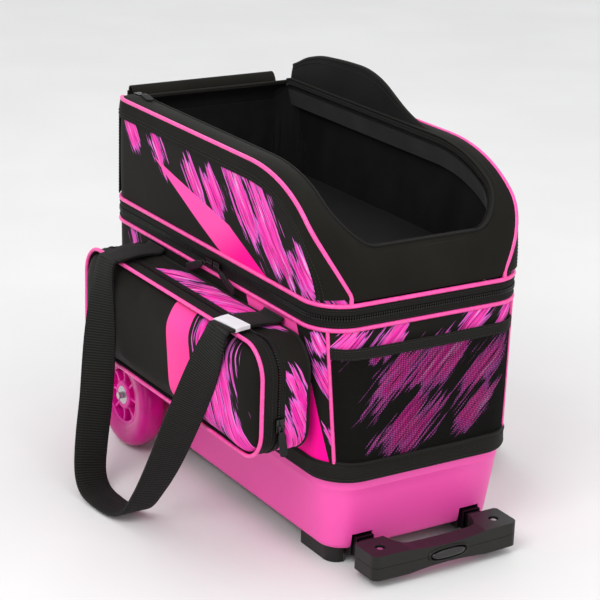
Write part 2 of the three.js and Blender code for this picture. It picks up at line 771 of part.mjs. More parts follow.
function farStrap() {
  const route = [
    [146, 138, 254, 0], [146, 150, 235, 0], [141, 168, 195, -20], [124, 186, 140, -45],
    [98, 204, 85, -65], [74, 220, 45, -82], [52, 232, 16, -90], [24, 241, 5, -90],
    [-8, 245, 4.5, -90], [-36, 241, 7, -90], [-62, 230, 24, -88], [-80, 215, 60, -74],
    [-96, 198, 110, -56], [-110, 180, 160, -34], [-117, 160, 215, -8], [-118, 138, 254, 0],
  ];
  return strap('strap_far_loop', easedRoute(route));
}

// Pull handle

function squareTube(x0, x1, y, size) {
  const half = size / 2;
  const bore = half - TUBE_WALL;
  const outer = box(x0, x1, y - half, y + half, TUBE_Z - half, TUBE_Z + half);
  const inner = box(x0 - 1, x1 + 1, y - bore, y + bore, TUBE_Z - bore, TUBE_Z + bore);
  return cut(outer, inner);
}

function handleTubes(side) {
  const y = side * TUBE_Y;
  const suffix = side < 0 ? 'near' : 'far';
  const middleSize = SLEEVE_SIZE - 2 * TUBE_WALL - 2 * TUBE_CLEARANCE;
  const innerSize = middleSize - 2 * TUBE_WALL - 2 * TUBE_CLEARANCE;
  const sleeve = squareTube(SLEEVE_REAR_X, SLEEVE_FRONT_X, y, SLEEVE_SIZE);
  const middleTube = squareTube(SLEEVE_REAR_X + 4, SLEEVE_FRONT_X + 9, y, middleSize);
  const innerTube = squareTube(SLEEVE_REAR_X + 8, GRIP_REAR_X - GAP, y, innerSize);
  return [
    mesh(`handle_sleeve_${suffix}`, sleeve, 'plastic', 'moulded'),
    mesh(`handle_middle_tube_${suffix}`, middleTube, 'plastic', 'metal'),
    mesh(`handle_inner_tube_${suffix}`, innerTube, 'plastic', 'metal'),
  ];
}

function gripOutline() {
  const outline = new THREE.Shape();
  const half = GRIP_HALF_WIDTH;
  const armInner = TUBE_Y - 14;
  const barInnerX = GRIP_FRONT_X - BAR_DEPTH;
  outline.moveTo(GRIP_REAR_X, -half + 3);
  outline.lineTo(GRIP_REAR_X + 3, -half);
  outline.lineTo(GRIP_FRONT_X - 10, -half);
  outline.quadraticCurveTo(GRIP_FRONT_X - 2, -half, GRIP_FRONT_X - 2, -half + 9);
  outline.quadraticCurveTo(GRIP_FRONT_X + 2, 0, GRIP_FRONT_X - 2, half - 9);
  outline.quadraticCurveTo(GRIP_FRONT_X - 2, half, GRIP_FRONT_X - 10, half);
  outline.lineTo(GRIP_REAR_X + 3, half);
  outline.lineTo(GRIP_REAR_X, half - 3);
  outline.lineTo(GRIP_REAR_X, armInner);
  outline.quadraticCurveTo(barInnerX + 4, armInner - 4, barInnerX + 2, armInner - 16);
  outline.quadraticCurveTo(barInnerX - 3, 0, barInnerX + 2, -armInner + 16);
  outline.quadraticCurveTo(barInnerX + 4, -armInner + 4, GRIP_REAR_X, -armInner);
  return outline;
}

function gripHalf(name, z0, z1) {
  const half = new THREE.ExtrudeGeometry(gripOutline(), {
    depth: z1 - z0, bevelEnabled: false, curveSegments: 6,
  });
  half.translate(0, 0, z0);
  const reach = BUTTON_WIDTH / 2 + GAP;
  const rise = BUTTON_HEIGHT / 2 + GAP;
  const cavity = box(
    GRIP_FRONT_X - BUTTON_CAVITY_DEPTH, GRIP_FRONT_X + 5, -reach, reach,
    GRIP_PARTING_Z - rise, GRIP_PARTING_Z + rise,
  );
  const wells = [-1, 1].map((side) => (
    cylinderZ(5.5, SCREW_X, side * (TUBE_Y + 4), GRIP_TOP_Z - 3, GRIP_TOP_Z + 1)
  ));
  return mesh(name, cut(half, cavity, ...wells, ...barScoops()), 'plastic', 'moulded');
}

// Shallow hollows that make the bar slimmer in the middle, above and below.
function barScoops() {
  const radius = (BAR_SCOOP_HALF_WIDTH ** 2 + BAR_SCOOP_DEPTH ** 2) / (2 * BAR_SCOOP_DEPTH);
  return [-1, 1].map((side) => {
    const scoop = cylinderZ(radius, 0, 0, GRIP_REAR_X - 2, GRIP_FRONT_X + 6, 120);
    scoop.rotateY(Math.PI / 2);
    const face = side < 0 ? GRIP_BOTTOM_Z : GRIP_TOP_Z;
    return scoop.translate(0, 0, face + side * (radius - BAR_SCOOP_DEPTH));
  });
}

function grip() {
  const buttonX = GRIP_FRONT_X + BUTTON_PROUD;
  const buttonRearX = buttonX - BUTTON_DEPTH;
  const button = box(
    buttonRearX, buttonX, -BUTTON_WIDTH / 2, BUTTON_WIDTH / 2,
    GRIP_PARTING_Z - BUTTON_HEIGHT / 2, GRIP_PARTING_Z + BUTTON_HEIGHT / 2,
  );
  const spring = cylinderZ(4, 0, 0, -6, -GAP, 12);
  spring.rotateY(Math.PI / 2).translate(buttonRearX, 0, GRIP_PARTING_Z);
  return [
    gripHalf('grip_lower', GRIP_BOTTOM_Z, GRIP_PARTING_Z - GAP / 2),
    gripHalf('grip_upper', GRIP_PARTING_Z + GAP / 2, GRIP_TOP_Z),
    mesh('release_button', button, 'plastic', 'moulded'),
    mesh('button_spring', spring, 'metal', 'metal'),
  ];
}

// Wheels

function turned(profile, segments = 40) {
  const points = profile.map(([radius, height]) => new THREE.Vector2(radius, height));
  return new THREE.LatheGeometry([...points, points[0].clone()], segments);
}

function wheel(side) {
  const suffix = side < 0 ? 'near' : 'far';
  const half = WHEEL_WIDTH / 2;
  const shoulder = WHEEL_RADIUS - 10;
  const tyre = turned([
    [HUB_RADIUS + GAP, -half + 3], [shoulder, -half], [WHEEL_RADIUS - 3, -half + 6], [WHEEL_RADIUS, 0],
    [WHEEL_RADIUS - 3, half - 6], [shoulder, half], [HUB_RADIUS + GAP, half - 3],
  ]);
  const sleeve = (inner, outer, segments) => {
    const reach = half - 4;
    return turned([[inner, -reach], [outer, -reach], [outer, reach], [inner, reach]], segments);
  };
  const hub = sleeve(BEARING_RADIUS + GAP, HUB_RADIUS, 28);
  const bearing = sleeve(AXLE_RADIUS + GAP, BEARING_RADIUS, 20);
  const place = (geometry) => geometry.translate(WHEEL_X, side * WHEEL_Y, WHEEL_RADIUS);
  const axleEnds = [113, WHEEL_Y + half + 2].map((y) => side * y).sort((a, b) => a - b);
  const axle = cylinderY(AXLE_RADIUS, WHEEL_X, WHEEL_RADIUS, axleEnds[0], axleEnds[1], 16);
  return [
    mesh(`wheel_tyre_${suffix}`, place(tyre), 'urethane', 'moulded'),
    mesh(`wheel_hub_${suffix}`, place(hub), 'urethane', 'moulded'),
    mesh(`wheel_bearing_${suffix}`, place(bearing), 'metal', 'metal'),
    mesh(`wheel_axle_${suffix}`, axle, 'metal', 'metal'),
  ];
}

// Assembly

const bag = new THREE.Group();
bag.position.x = ORIGIN_SHIFT_X;
bag.add(
  baseTray(), foot(-1), foot(1),
  ...panelSides.map((side) => bodyPanel(side)),
  baseBinding(),
  pipingRing('lower_piping', LOWER_PIPING_Z),
  pipingRing('upper_piping', UPPER_PIPING_Z),
  bandRing('main_zipper_lower_tape', -1, 2, LOWER_PIPING_Z + 3.5, LOWER_PIPING_Z + 12.6),
  bandRing('main_zipper_upper_tape', -1, 2, LOWER_PIPING_Z + 13.4, UPPER_PIPING_Z - 3.5),
  hingeStrip(),
  ballCup(-1), ballCup(1), ballDivider(),
  meshPocket(),
  ...accessoryPocket(),
  topSidePanel(-1), topSidePanel(1), edgePiping(-1), edgePiping(1),
  ...topGussets(), shoeFloor(), lidHingeRoll(), lid(),
  ...zippers(),
  ...nearStrap(), farStrap(),
  ...handleTubes(-1), ...handleTubes(1), ...grip(),
  ...wheel(-1), ...wheel(1),
);

export default bag;
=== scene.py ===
# Looks for a two-ball roller bag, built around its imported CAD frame.
# Shapes are worked out in millimetres from the middle of the bag, +X to the pull handle, and
# go into the frame, in metres, when a piece is made.
import json
import math

import bmesh
import bpy
import numpy as np
from mathutils import Matrix, Vector, noise


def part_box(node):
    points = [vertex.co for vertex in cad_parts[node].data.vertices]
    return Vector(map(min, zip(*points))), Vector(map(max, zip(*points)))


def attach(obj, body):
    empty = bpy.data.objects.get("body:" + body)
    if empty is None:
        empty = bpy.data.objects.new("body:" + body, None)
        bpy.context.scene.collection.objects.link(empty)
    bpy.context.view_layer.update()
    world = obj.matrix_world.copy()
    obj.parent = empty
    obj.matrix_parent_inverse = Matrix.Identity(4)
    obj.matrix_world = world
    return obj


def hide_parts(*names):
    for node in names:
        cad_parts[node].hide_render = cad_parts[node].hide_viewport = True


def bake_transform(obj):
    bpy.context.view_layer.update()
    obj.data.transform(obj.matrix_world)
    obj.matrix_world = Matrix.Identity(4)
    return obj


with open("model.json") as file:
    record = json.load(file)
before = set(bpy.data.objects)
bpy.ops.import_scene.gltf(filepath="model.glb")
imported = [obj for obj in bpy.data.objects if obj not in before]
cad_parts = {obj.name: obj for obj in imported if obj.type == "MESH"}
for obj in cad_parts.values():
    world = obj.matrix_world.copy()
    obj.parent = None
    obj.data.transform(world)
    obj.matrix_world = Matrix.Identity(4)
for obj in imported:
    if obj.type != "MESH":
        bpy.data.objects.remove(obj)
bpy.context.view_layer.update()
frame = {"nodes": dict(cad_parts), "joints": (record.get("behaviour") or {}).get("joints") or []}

MM = 0.001
SIDES = NEAR, FRONT, FAR, REAR = range(4)
ROOT, TOP = "root", "top_compartment"


def node_box(node):
    """Lowest and highest corner of a CAD node, in millimetres in the frame."""
    return [np.array(corner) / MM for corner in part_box(node)]


def bag_box(node):
    """The same corners, measured from the bag's middle."""
    return [corner - (MIDDLE_X, 0, 0) for corner in node_box(node)]


# Sizes that the frame gives
piping_low, piping_high = node_box("lower_piping")
upper_low, upper_high = node_box("upper_piping")
hem_low, hem_high = node_box("base_binding")
PIPING_RADIUS = (piping_high[2] - piping_low[2]) / 2
MIDDLE_X = (piping_low[0] + piping_high[0]) / 2
BAG_LENGTH, BAG_WIDTH = (piping_high - piping_low)[:2] - 2 * PIPING_RADIUS
LOWER_Z = (piping_low[2] + piping_high[2]) / 2
UPPER_Z = (upper_low[2] + upper_high[2]) / 2
HEM_Z = hem_low[2] + 2
HEM_LENGTH, HEM_WIDTH = (hem_high - hem_low)[:2] - 6
TRAY_BOTTOM_Z = node_box("base_tray")[0][2]

# Sizes of the looks alone
CORNER_RADIUS = 41
TRAY_BOTTOM = (473, 213, 29)
TRAY_FLOOR_Z, TRAY_UNDERSIDE_Z, TRAY_ROUNDING, TRAY_WALL = 41, 38, 6, 3.5
TOP_Z = 415
WALL = 4
OPENING_REAR_X, OPENING_FRONT_X = -228, 222
OPENING_NEAR_Y, OPENING_FAR_Y = -98, 107
OPENING_RADIUS = 40
BEND_X = OPENING_FRONT_X - OPENING_RADIUS
RIM = 1.7
BINDING_RADIUS = 1.6
SILHOUETTE_CORNER = 22
SLOPE_X = 85
POCKET_X, POCKET_Z, POCKET_RADIUS = (-180, 222), (132, 256), 34
POCKET_OUTER_Y, POCKET_INNER_Y = -193, -131.5
POCKET_COIL_Y = POCKET_OUTER_Y + 24
NET_BOTTOM, NET_TOP = 123, 249
STRAP_WIDTH, STRAP_THICK = 38, 3.0
WHEEL_X, WHEEL_Y, WHEEL_RADIUS = -165, 139, 63.5


def new_object(name, data):
    made = bpy.data.objects.new(name, data)
    bpy.context.scene.collection.objects.link(made)
    return made


def facing(thing, place, target):
    """Puts a camera or lamp at a place and gives the turn that points it at a target."""
    thing.location = place
    thing.rotation_mode = "QUATERNION"
    return (Vector(target) - thing.location).to_track_quat("-Z", "Y")


def make_camera():
    data = bpy.data.cameras.new("camera")
    data.lens = 116.42
    data.sensor_width = 36
    camera = new_object("camera", data)
    turn = facing(camera, (1.7677, -1.1325, 0.9408), (-0.0168, 0, 0.2089))
    rolled = turn.to_matrix().to_4x4() @ Matrix.Rotation(math.radians(1.9), 4, "Z")
    camera.rotation_quaternion = rolled.to_quaternion()
    bpy.context.scene.camera = camera


make_camera()


# ---------------------------------------------------------------- materials

class Graph:
    """A node material under construction."""

    def __init__(self, name):
        self.material = bpy.data.materials.new(name)
        self.material.use_nodes = True
        self.tree = self.material.node_tree
        self.shader = self.tree.nodes["Principled BSDF"]

    def add(self, kind, inputs=None, **settings):
        node = self.tree.nodes.new("ShaderNode" + kind)
        for key, value in settings.items():
            setattr(node, key, value)
        for key, value in (inputs or {}).items():
            self.feed(node.inputs[key], value)
        return node

    def feed(self, socket, value):
        if isinstance(value, bpy.types.NodeSocket):
            self.tree.links.new(value, socket)
        else:
            socket.default_value = value

    def math(self, operation, first, second=0.0):
        return self.add("Math", {0: first, 1: second}, operation=operation).outputs[0]

    def plus(self, first, second, factor):
        """first + factor × second."""
        return self.math("ADD", first, self.math("MULTIPLY", second, factor))

    def swing(self, value, factor):
        """factor × (value - 0.5)."""
        return self.math("MULTIPLY", self.math("SUBTRACT", value, 0.5), factor)

    def vector(self, operation, first, second):
        return self.add("VectorMath", {0: first, 1: second}, operation=operation)

    def mix(self, share, first, second):
        node = self.add("Mix", data_type="RGBA")
        # A Mix node names its number, vector and colour sockets alike, so the colour ones go by place
        for place, value in ((0, share), (6, rgba(first)), (7, rgba(second))):
            self.feed(node.inputs[place], value)
        return node.outputs[2]

    def uv(self):
        return self.add("UVMap", uv_map="uv").outputs[0]

    def place(self):
        return self.add("TexCoord").outputs["Object"]

    def noise(self, coords, scale, detail=3.0, rough=0.5):
        inputs = {"Vector": coords, "Scale": scale, "Detail": detail, "Roughness": rough}
        return self.add("TexNoise", inputs).outputs["Fac"]

    def bands(self, coords, pitch, direction):
        """A sine across the coordinates that repeats each pitch, in metres."""
        inputs = {"Vector": coords, "Scale": 0.314159 / pitch}
        return self.add("TexWave", inputs, bands_direction=direction).outputs["Fac"]

    def stretch(self, coords, angle, scale):
        inputs = {"Vector": coords, "Rotation": (0, 0, math.radians(angle)), "Scale": scale}
        return self.add("Mapping", inputs, vector_type="TEXTURE").outputs[0]

    def clamp(self, value, low, high):
        inputs = {"Value": value, "From Min": low, "From Max": high}
        return self.add("MapRange", inputs, interpolation_type="SMOOTHSTEP").outputs[0]

    def spread(self, value, low, high):
        return self.add("MapRange", {"Value": value, "To Min": low, "To Max": high}).outputs[0]

    def bump(self, height, strength, distance):
        inputs = {"Height": height, "Strength": strength, "Distance": distance}
        self.feed(self.shader.inputs["Normal"], self.add("Bump", inputs).outputs[0])

    def finish(self, colour, rough, **inputs):
        """Sets the shader's sockets and gives the material."""
        for key, value in {"Base_Color": colour, "Roughness": rough, **inputs}.items():
            self.feed(self.shader.inputs[key.replace("_", " ")], value)
        return self.material


def rgba(value):
    return value if isinstance(value, bpy.types.NodeSocket) else (*value, 1.0)


def scaled(colour, factor):
    return tuple(min(1, c * factor) for c in colour)


def woven(graph, coords, pitch=0.0011):
    """Plain weave: two sets of yarns, with a slow unevenness."""
    yarns = graph.math("MULTIPLY", graph.bands(coords, pitch, "X"), graph.bands(coords, pitch, "Y"))
    graph.bump(graph.plus(yarns, graph.noise(coords, 90, 4), 0.8), 0.25, 0.0004)
    return yarns


def fabric(name, colour, pitch=0.0011, roughness=0.78, sheen=0.03):
    graph = Graph(name)
    coords = graph.uv()
    yarns = woven(graph, coords, pitch)
    shade = graph.clamp(graph.plus(graph.noise(coords, 14, 5), yarns, 0.25), 0.3, 0.95)
    return graph.finish(graph.mix(shade, colour, scaled(colour, 1.8)), roughness,
                        Sheen_Weight=sheen, Sheen_Roughness=0.4, Specular_IOR_Level=0.11)


def half_plane(graph, coords, start, end):
    """Metres to the left of the line from start to end, which are in millimetres."""
    along = Vector((end[0] - start[0], end[1] - start[1])).normalized()
    across = (-along.y, along.x, 0.0)
    reach = graph.vector("DOT_PRODUCT", coords, across).outputs["Value"]
    return graph.math("SUBTRACT", reach, (start[0] * across[0] + start[1] * across[1]) * MM)


def inside(graph, coords, corners):
    """1 inside a convex outline, given anticlockwise in millimetres."""
    result = None
    for start, end in zip(corners, corners[1:] + corners[:1]):
        side = half_plane(graph, coords, start, end)
        result = side if result is None else graph.math("MINIMUM", result, side)
    return graph.clamp(result, -0.0002, 0.0002)


def blotches(graph, coords, spots, angle):
    """Highest of several soft ellipses: (middle u, middle v, half length, half width), in millimetres."""
    result = None
    for u, v, half_length, half_width in spots:
        moved = graph.vector("SUBTRACT", coords, (u * MM, v * MM, 0)).outputs[0]
        turned = graph.stretch(moved, angle, (half_length * MM, half_width * MM, 1.0))
        reach = graph.vector("LENGTH", turned, (0, 0, 0)).outputs["Value"]
        spot = graph.math("SUBTRACT", 1.0, reach)
        result = spot if result is None else graph.math("MAXIMUM", result, spot)
    return result


def printed(name, spots, angle, blade=None):
    """Woven cloth printed with dry brush strokes, and with a flat pink blade over them.

    blade is its corners, its two tones, and the line that its tones run away from.
    """
    graph = Graph(name)
    coords = graph.uv()

    def streaks(length, width, detail, rough=0.5, scale=1.0):
        return graph.noise(graph.stretch(coords, angle, (length, width, 1.0)), scale, detail, rough)

    ragged = graph.swing(streaks(0.075, 0.0035, 3, 0.6), 2.6)
    clumped = graph.swing(streaks(0.060, 0.011, 2), 2.0)
    level = graph.math("ADD", blotches(graph, coords, spots, angle), graph.math("ADD", ragged, clumped))
    bristles = graph.clamp(streaks(0.045, 0.0011, 2), 0.36, 0.45)
    paint = graph.math("MULTIPLY", graph.clamp(level, 0.0, 0.16), bristles)
    edge = graph.clamp(level, 0.45, 0.10)
    hue = streaks(0.09, 0.006, 2, scale=1.3)
    pink = graph.mix(graph.clamp(hue, 0.38, 0.62), MAGENTA, STROKE_PINK)
    pale = graph.mix(graph.clamp(hue, 0.60, 0.72), pink, STROKE_PALE)
    tinted = graph.mix(graph.math("MULTIPLY", edge, 0.75), pale, LILAC)
    cloth = graph.mix(graph.clamp(graph.noise(coords, 14, 5), 0.3, 0.9), BLACK, scaled(BLACK, 1.8))
    colour = graph.mix(paint, cloth, tinted)
    if blade:
        corners, tones, line = blade
        tone = graph.mix(graph.clamp(half_plane(graph, coords, *line), 0.0, 0.06), *tones)
        colour = graph.mix(inside(graph, coords, corners), colour, tone)
    woven(graph, coords)
    return graph.finish(colour, 0.72, Sheen_Weight=0.02, Specular_IOR_Level=0.11)


def vinyl(name, colour):
    graph = Graph(name)
    speckle = graph.noise(graph.place(), 160, 3)
    graph.bump(speckle, 0.12, 0.0003)
    shade = graph.clamp(speckle, 0.35, 0.75)
    return graph.finish(graph.mix(shade, scaled(colour, 0.82), colour), 0.32, Subsurface_Weight=0.08,
                        Subsurface_Radius=(0.004, 0.001, 0.002), Subsurface_Scale=0.4)


def moulded(name, colour, roughness, grain=900.0, strength=0.10, wear=0.25, shine=0.5):
    """Textured moulding with fine grain, faint flow marks and paler rubbed places."""
    graph = Graph(name)
    coords = graph.place()
    flow = graph.noise(coords, 7, 4)
    graph.bump(graph.noise(coords, grain, 2), strength, 0.0004)
    shade = graph.clamp(flow, 0.35, 0.75)
    return graph.finish(graph.mix(shade, colour, scaled(colour, 1 + wear)),
                        graph.spread(flow, roughness - 0.06, roughness + 0.1), Specular_IOR_Level=shine)


def webbing_cloth(name, colour):
    graph = Graph(name)
    coords = graph.uv()
    ribs = graph.bands(coords, 0.0030, "Y")
    height = graph.plus(ribs, graph.bands(coords, 0.0042, "X"), 0.25)
    graph.bump(graph.plus(height, graph.noise(coords, 400, 3), 0.3), 0.9, 0.0006)
    return graph.finish(graph.mix(graph.clamp(ribs, 0.25, 1.0), colour, scaled(colour, 4.2)), 0.7,
                        Sheen_Weight=0.03, Specular_IOR_Level=0.14)


def tape_cloth(name, colour):
    """Zipper tape: fine lengthwise ribs."""
    graph = Graph(name)
    coords = graph.uv()
    ribs = graph.bands(coords, 0.0022, "Y")
    graph.bump(graph.plus(ribs, graph.noise(coords, 500, 3), 0.4), 0.7, 0.0005)
    return graph.finish(graph.mix(graph.math("MULTIPLY", ribs, 0.7), colour, scaled(colour, 2.2)), 0.66,
                        Sheen_Weight=0.02, Specular_IOR_Level=0.14)


def felt(name, colour):
    graph = Graph(name)
    coords = graph.place()
    fuzz = graph.noise(coords, 700, 4, 0.7)
    graph.bump(fuzz, 0.5, 0.0006)
    shade = graph.math("MULTIPLY", graph.math("ADD", fuzz, graph.noise(coords, 30, 3)), 0.5)
    return graph.finish(graph.mix(graph.clamp(shade, 0.3, 0.7), colour, scaled(colour, 2.0)), 0.92,
                        Sheen_Weight=0.08, Sheen_Roughness=0.5, Specular_IOR_Level=0.10)


def metal(name, colour, roughness):
    graph = Graph(name)
    brushed = graph.noise(graph.stretch(graph.place(), 0, (0.05, 0.002, 0.002)), 1.0, 4)
    graph.bump(brushed, 0.08, 0.0003)
    return graph.finish(graph.mix(brushed, colour, scaled(colour, 0.75)),
                        graph.spread(brushed, roughness - 0.08, roughness + 0.12), Metallic=1.0)


def urethane(name, colour, transmission):
    graph = Graph(name)
    coords = graph.place()
    cloud = graph.clamp(graph.noise(coords, 22, 3), 0.3, 0.75)
    graph.bump(graph.noise(coords, 60, 3), 0.08, 0.0006)
    return graph.finish(graph.mix(cloud, scaled(colour, 0.6), colour), 0.16,
                        Transmission_Weight=transmission, IOR=1.46, Coat_Weight=0.12, Coat_Roughness=0.08,
                        Specular_IOR_Level=0.25, Subsurface_Weight=0.2,
                        Subsurface_Radius=(0.02, 0.004, 0.01), Subsurface_Scale=0.5)


def net_cord(name):
    graph = Graph(name)
    fuzz = graph.noise(graph.place(), 900, 2)
    graph.bump(fuzz, 0.4, 0.0003)
    return graph.finish(graph.mix(fuzz, (0.003, 0.003, 0.003), (0.007, 0.0068, 0.006)), 0.8,
                        Specular_IOR_Level=0.12)


def floor_material():
    graph = Graph("pale_floor")
    cloud = graph.clamp(graph.noise(graph.place(), 3, 3), 0.3, 0.8)
    return graph.finish(graph.mix(cloud, (0.74, 0.735, 0.72), (0.78, 0.775, 0.765)), 0.6)


BLACK = (0.0062, 0.0058, 0.0042)
MAGENTA = (0.80, 0.02, 0.36)
STROKE_PINK = (1.0, 0.10, 0.50)
STROKE_PALE = (0.85, 0.42, 0.78)
LILAC = (0.62, 0.16, 0.66)
BLADE_TONES = ((1.0, 0.09, 0.42), (1.0, 0.0, 0.30))
POCKET_BLADE_TONES = ((1.0, 0.075, 0.34), (1.0, 0.05, 0.32))

M = {
    "cloth": fabric("black_cloth", BLACK),
    "lining": fabric("lining_cloth", (0.0045, 0.0045, 0.0042), 0.0008, 0.6),
    "felt": felt("charcoal_felt", (0.0095, 0.0095, 0.0088)),
    "foam": felt("charcoal_foam", (0.020, 0.020, 0.021)),
    "webbing": webbing_cloth("black_webbing", (0.0040, 0.0040, 0.0034)),
    "binding": tape_cloth("black_binding", (0.0058, 0.0054, 0.0044)),
    "tape": tape_cloth("zipper_tape", (0.0050, 0.0047, 0.0040)),
    "thread": moulded("black_thread", (0.016, 0.0155, 0.0135), 0.6, shine=0.2),
    "piping": vinyl("pink_piping", (1.0, 0.085, 0.40)),
    "tray": moulded("tray_plastic", (0.84, 0.075, 0.385), 0.40, 700, 0.07, 0.06),
    "plastic": moulded("black_plastic", (0.0085, 0.0080, 0.0068), 0.36, 800, 0.22, 0.5, 0.28),
    "gloss": moulded("black_button", (0.010, 0.0095, 0.0085), 0.24, 500, 0.05, 0.4),
    "rubber": moulded("pull_rubber", (0.0065, 0.0065, 0.0060), 0.5, 900, 0.15, 0.4, 0.25),
    "tube": metal("black_tube", (0.028, 0.028, 0.03), 0.34),
    "steel": metal("plated_steel", (0.62, 0.62, 0.63), 0.28),
    "black_metal": metal("black_zipper_metal", (0.05, 0.05, 0.048), 0.3),
    "urethane": urethane("magenta_urethane", (0.82, 0.004, 0.33), 0.12),
    "hub": urethane("magenta_hub", (0.92, 0.008, 0.40), 0.08),
    "net": net_cord("net_cord"),
    "label": fabric("label_cloth", (0.62, 0.62, 0.64), 0.0009, 0.8, 0.1),
}
# Printed panels: their brush strokes, the strokes' slant in degrees, and the blade over them
PRINTS = {
    "top_near": (
        [(-178, 383, 26, 13), (-115, 380, 28, 12), (-30, 362, 34, 13), (20, 358, 34, 15), (78, 366, 56, 20),
         (128, 350, 62, 24), (165, 322, 34, 15), (205, 325, 36, 20), (232, 318, 26, 14)],
        -47, ([(-124, 367), (40, 292), (136, 292), (50, 333)], BLADE_TONES, ((40, 345), (-20, 300)))),
    "top_far": (
        [(178, 378, 34, 16), (115, 375, 40, 18), (30, 358, 50, 20), (-20, 354, 50, 22), (-78, 360, 66, 26),
         (-128, 346, 66, 28), (-165, 322, 44, 20), (-205, 325, 46, 24)],
        47, ([(-45, 292), (118, 363), (-50, 331), (-136, 292)], BLADE_TONES, ((20, 300), (-40, 345)))),
    "body_near": (
        [(225, 250, 14, 14), (238, 208, 34, 11), (256, 196, 30, 8), (244, 142, 24, 10), (-150, 200, 60, 22)],
        -62, ([(85, 270), (152, 122), (231, 122), (215, 205), (190, 270)], BLADE_TONES,
              ((190, 270), (85, 270)))),
    "body_far": (
        [(-225, 240, 40, 16), (-60, 205, 80, 30), (10, 180, 90, 34), (75, 225, 80, 30), (150, 190, 90, 32),
         (215, 160, 60, 24)],
        62, ([(-176, 270), (-201, 205), (-225, 122), (-152, 122), (-85, 270)], BLADE_TONES,
             ((-85, 270), (-176, 270)))),
    "body_front": (
        [(-92, 256, 24, 13), (-45, 250, 26, 12), (52, 256, 34, 14), (98, 258, 20, 8), (-40, 208, 48, 18),
         (20, 222, 56, 20), (74, 205, 42, 16), (-30, 158, 46, 16), (-8, 150, 40, 14), (62, 158, 36, 14)],
        43, None),
    "pocket_front": (
        [(150, 205, 60, 34), (125, 165, 48, 22), (185, 155, 50, 18), (112, 240, 26, 12)],
        -66, ([(54, 120), (112, 120), (92, 217), (74, 270), (34, 270)], POCKET_BLADE_TONES,
              ((34, 270), (54, 120)))),
    "pocket_gusset": (
        [(12, -150, 54, 17), (48, -149, 50, 17), (84, -149, 52, 18), (116, -148, 50, 16), (-45, -150, 40, 12),
         (232, -147, 30, 11), (262, -146, 34, 13), (300, -150, 50, 18), (350, -149, 50, 17),
         (420, -150, 40, 14), (-240, -150, 40, 14)],
        24, None),
}
for key, (spots, angle, blade) in PRINTS.items():
    M[key] = printed(f"print_{key}", spots, angle, blade)


# ---------------------------------------------------------------- making pieces

def to_frame(points):
    """Millimetres from the bag's middle to metres in the frame."""
    return (np.asarray(points, float) + (MIDDLE_X, 0, 0)) * MM


def closed_mesh(name, verts, faces, uvs=None):
    """Mesh from points in millimetres, its faces turned outward; uvs is one pair for each face corner."""
    mesh = bpy.data.meshes.new(name)
    mesh.from_pydata([tuple(v) for v in to_frame(verts)], [], [list(f) for f in faces])
    if uvs is not None:
        mesh.uv_layers.new(name="uv").data.foreach_set("uv", (np.asarray(uvs, float) * MM).ravel())
    work = bmesh.new()
    work.from_mesh(mesh)
    bmesh.ops.recalc_face_normals(work, faces=work.faces)
    work.to_mesh(mesh)
    work.free()
    return mesh


def settle(piece, material, body, replaces=(), slot=None):
    """Ties a piece to its body and hides the CAD nodes that it replaces; slot is not used, and body is None
    where the piece is not tied to a body here.
    """
    if body:
        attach(piece, body)
    if replaces:
        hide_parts(*replaces)


def make(name, verts, faces, material, body, uvs=None, sharp=40, **rest):
    mesh = closed_mesh(name, verts, faces, uvs)
    mesh.validate()
    mesh.materials.append(M[material])
    mesh.shade_smooth()
    mesh.set_sharp_from_angle(angle=math.radians(sharp))
    piece = new_object(name, mesh)
    settle(piece, material, body, **rest)
    return piece


def unit(vectors):
    return vectors / np.linalg.norm(vectors, axis=-1, keepdims=True)


def steps_along(points):
    """Running length along a row of points."""
    gaps = np.linalg.norm(np.diff(points, axis=0), axis=1)
    return np.concatenate([[0], np.cumsum(gaps)])


def sample(rows, run, where):
    """Rows of numbers, read at one or more running lengths."""
    rows = np.asarray(rows, float)
    return np.stack([np.interp(where, run, rows[:, k]) for k in range(rows.shape[1])], -1)


def joined(rows):
    """A closed row with its first entry repeated at its end."""
    return np.concatenate([rows, rows[:1]])


def around(sides):
    """Cosines and sines of equal steps round a circle."""
    angles = np.arange(sides) * 2 * math.pi / sides
    return np.cos(angles), np.sin(angles)


def round_ring(centre, size, across, over, sides):
    cosines, sines = around(sides)
    return centre + size * (np.outer(cosines, across) + np.outer(sines, over))


def grid_faces(rows, columns, offset=0, wrap_rows=False, wrap_columns=False):
    """Quads over a grid of points, and the (row, column) of each face corner."""
    faces, corners = [], []
    for i in range(rows if wrap_rows else rows - 1):
        for j in range(columns if wrap_columns else columns - 1):
            cell = [(i, j), (i, j + 1), (i + 1, j + 1), (i + 1, j)]
            faces.append([offset + (r % rows) * columns + c % columns for r, c in cell])
            corners += cell
    return faces, corners


def mean_lengths(grid):
    """Mean running length of a grid's rows, and of its columns."""
    return [np.mean([steps_along(line)[-1] for line in lines]) for lines in (grid, grid.transpose(1, 0, 2))]


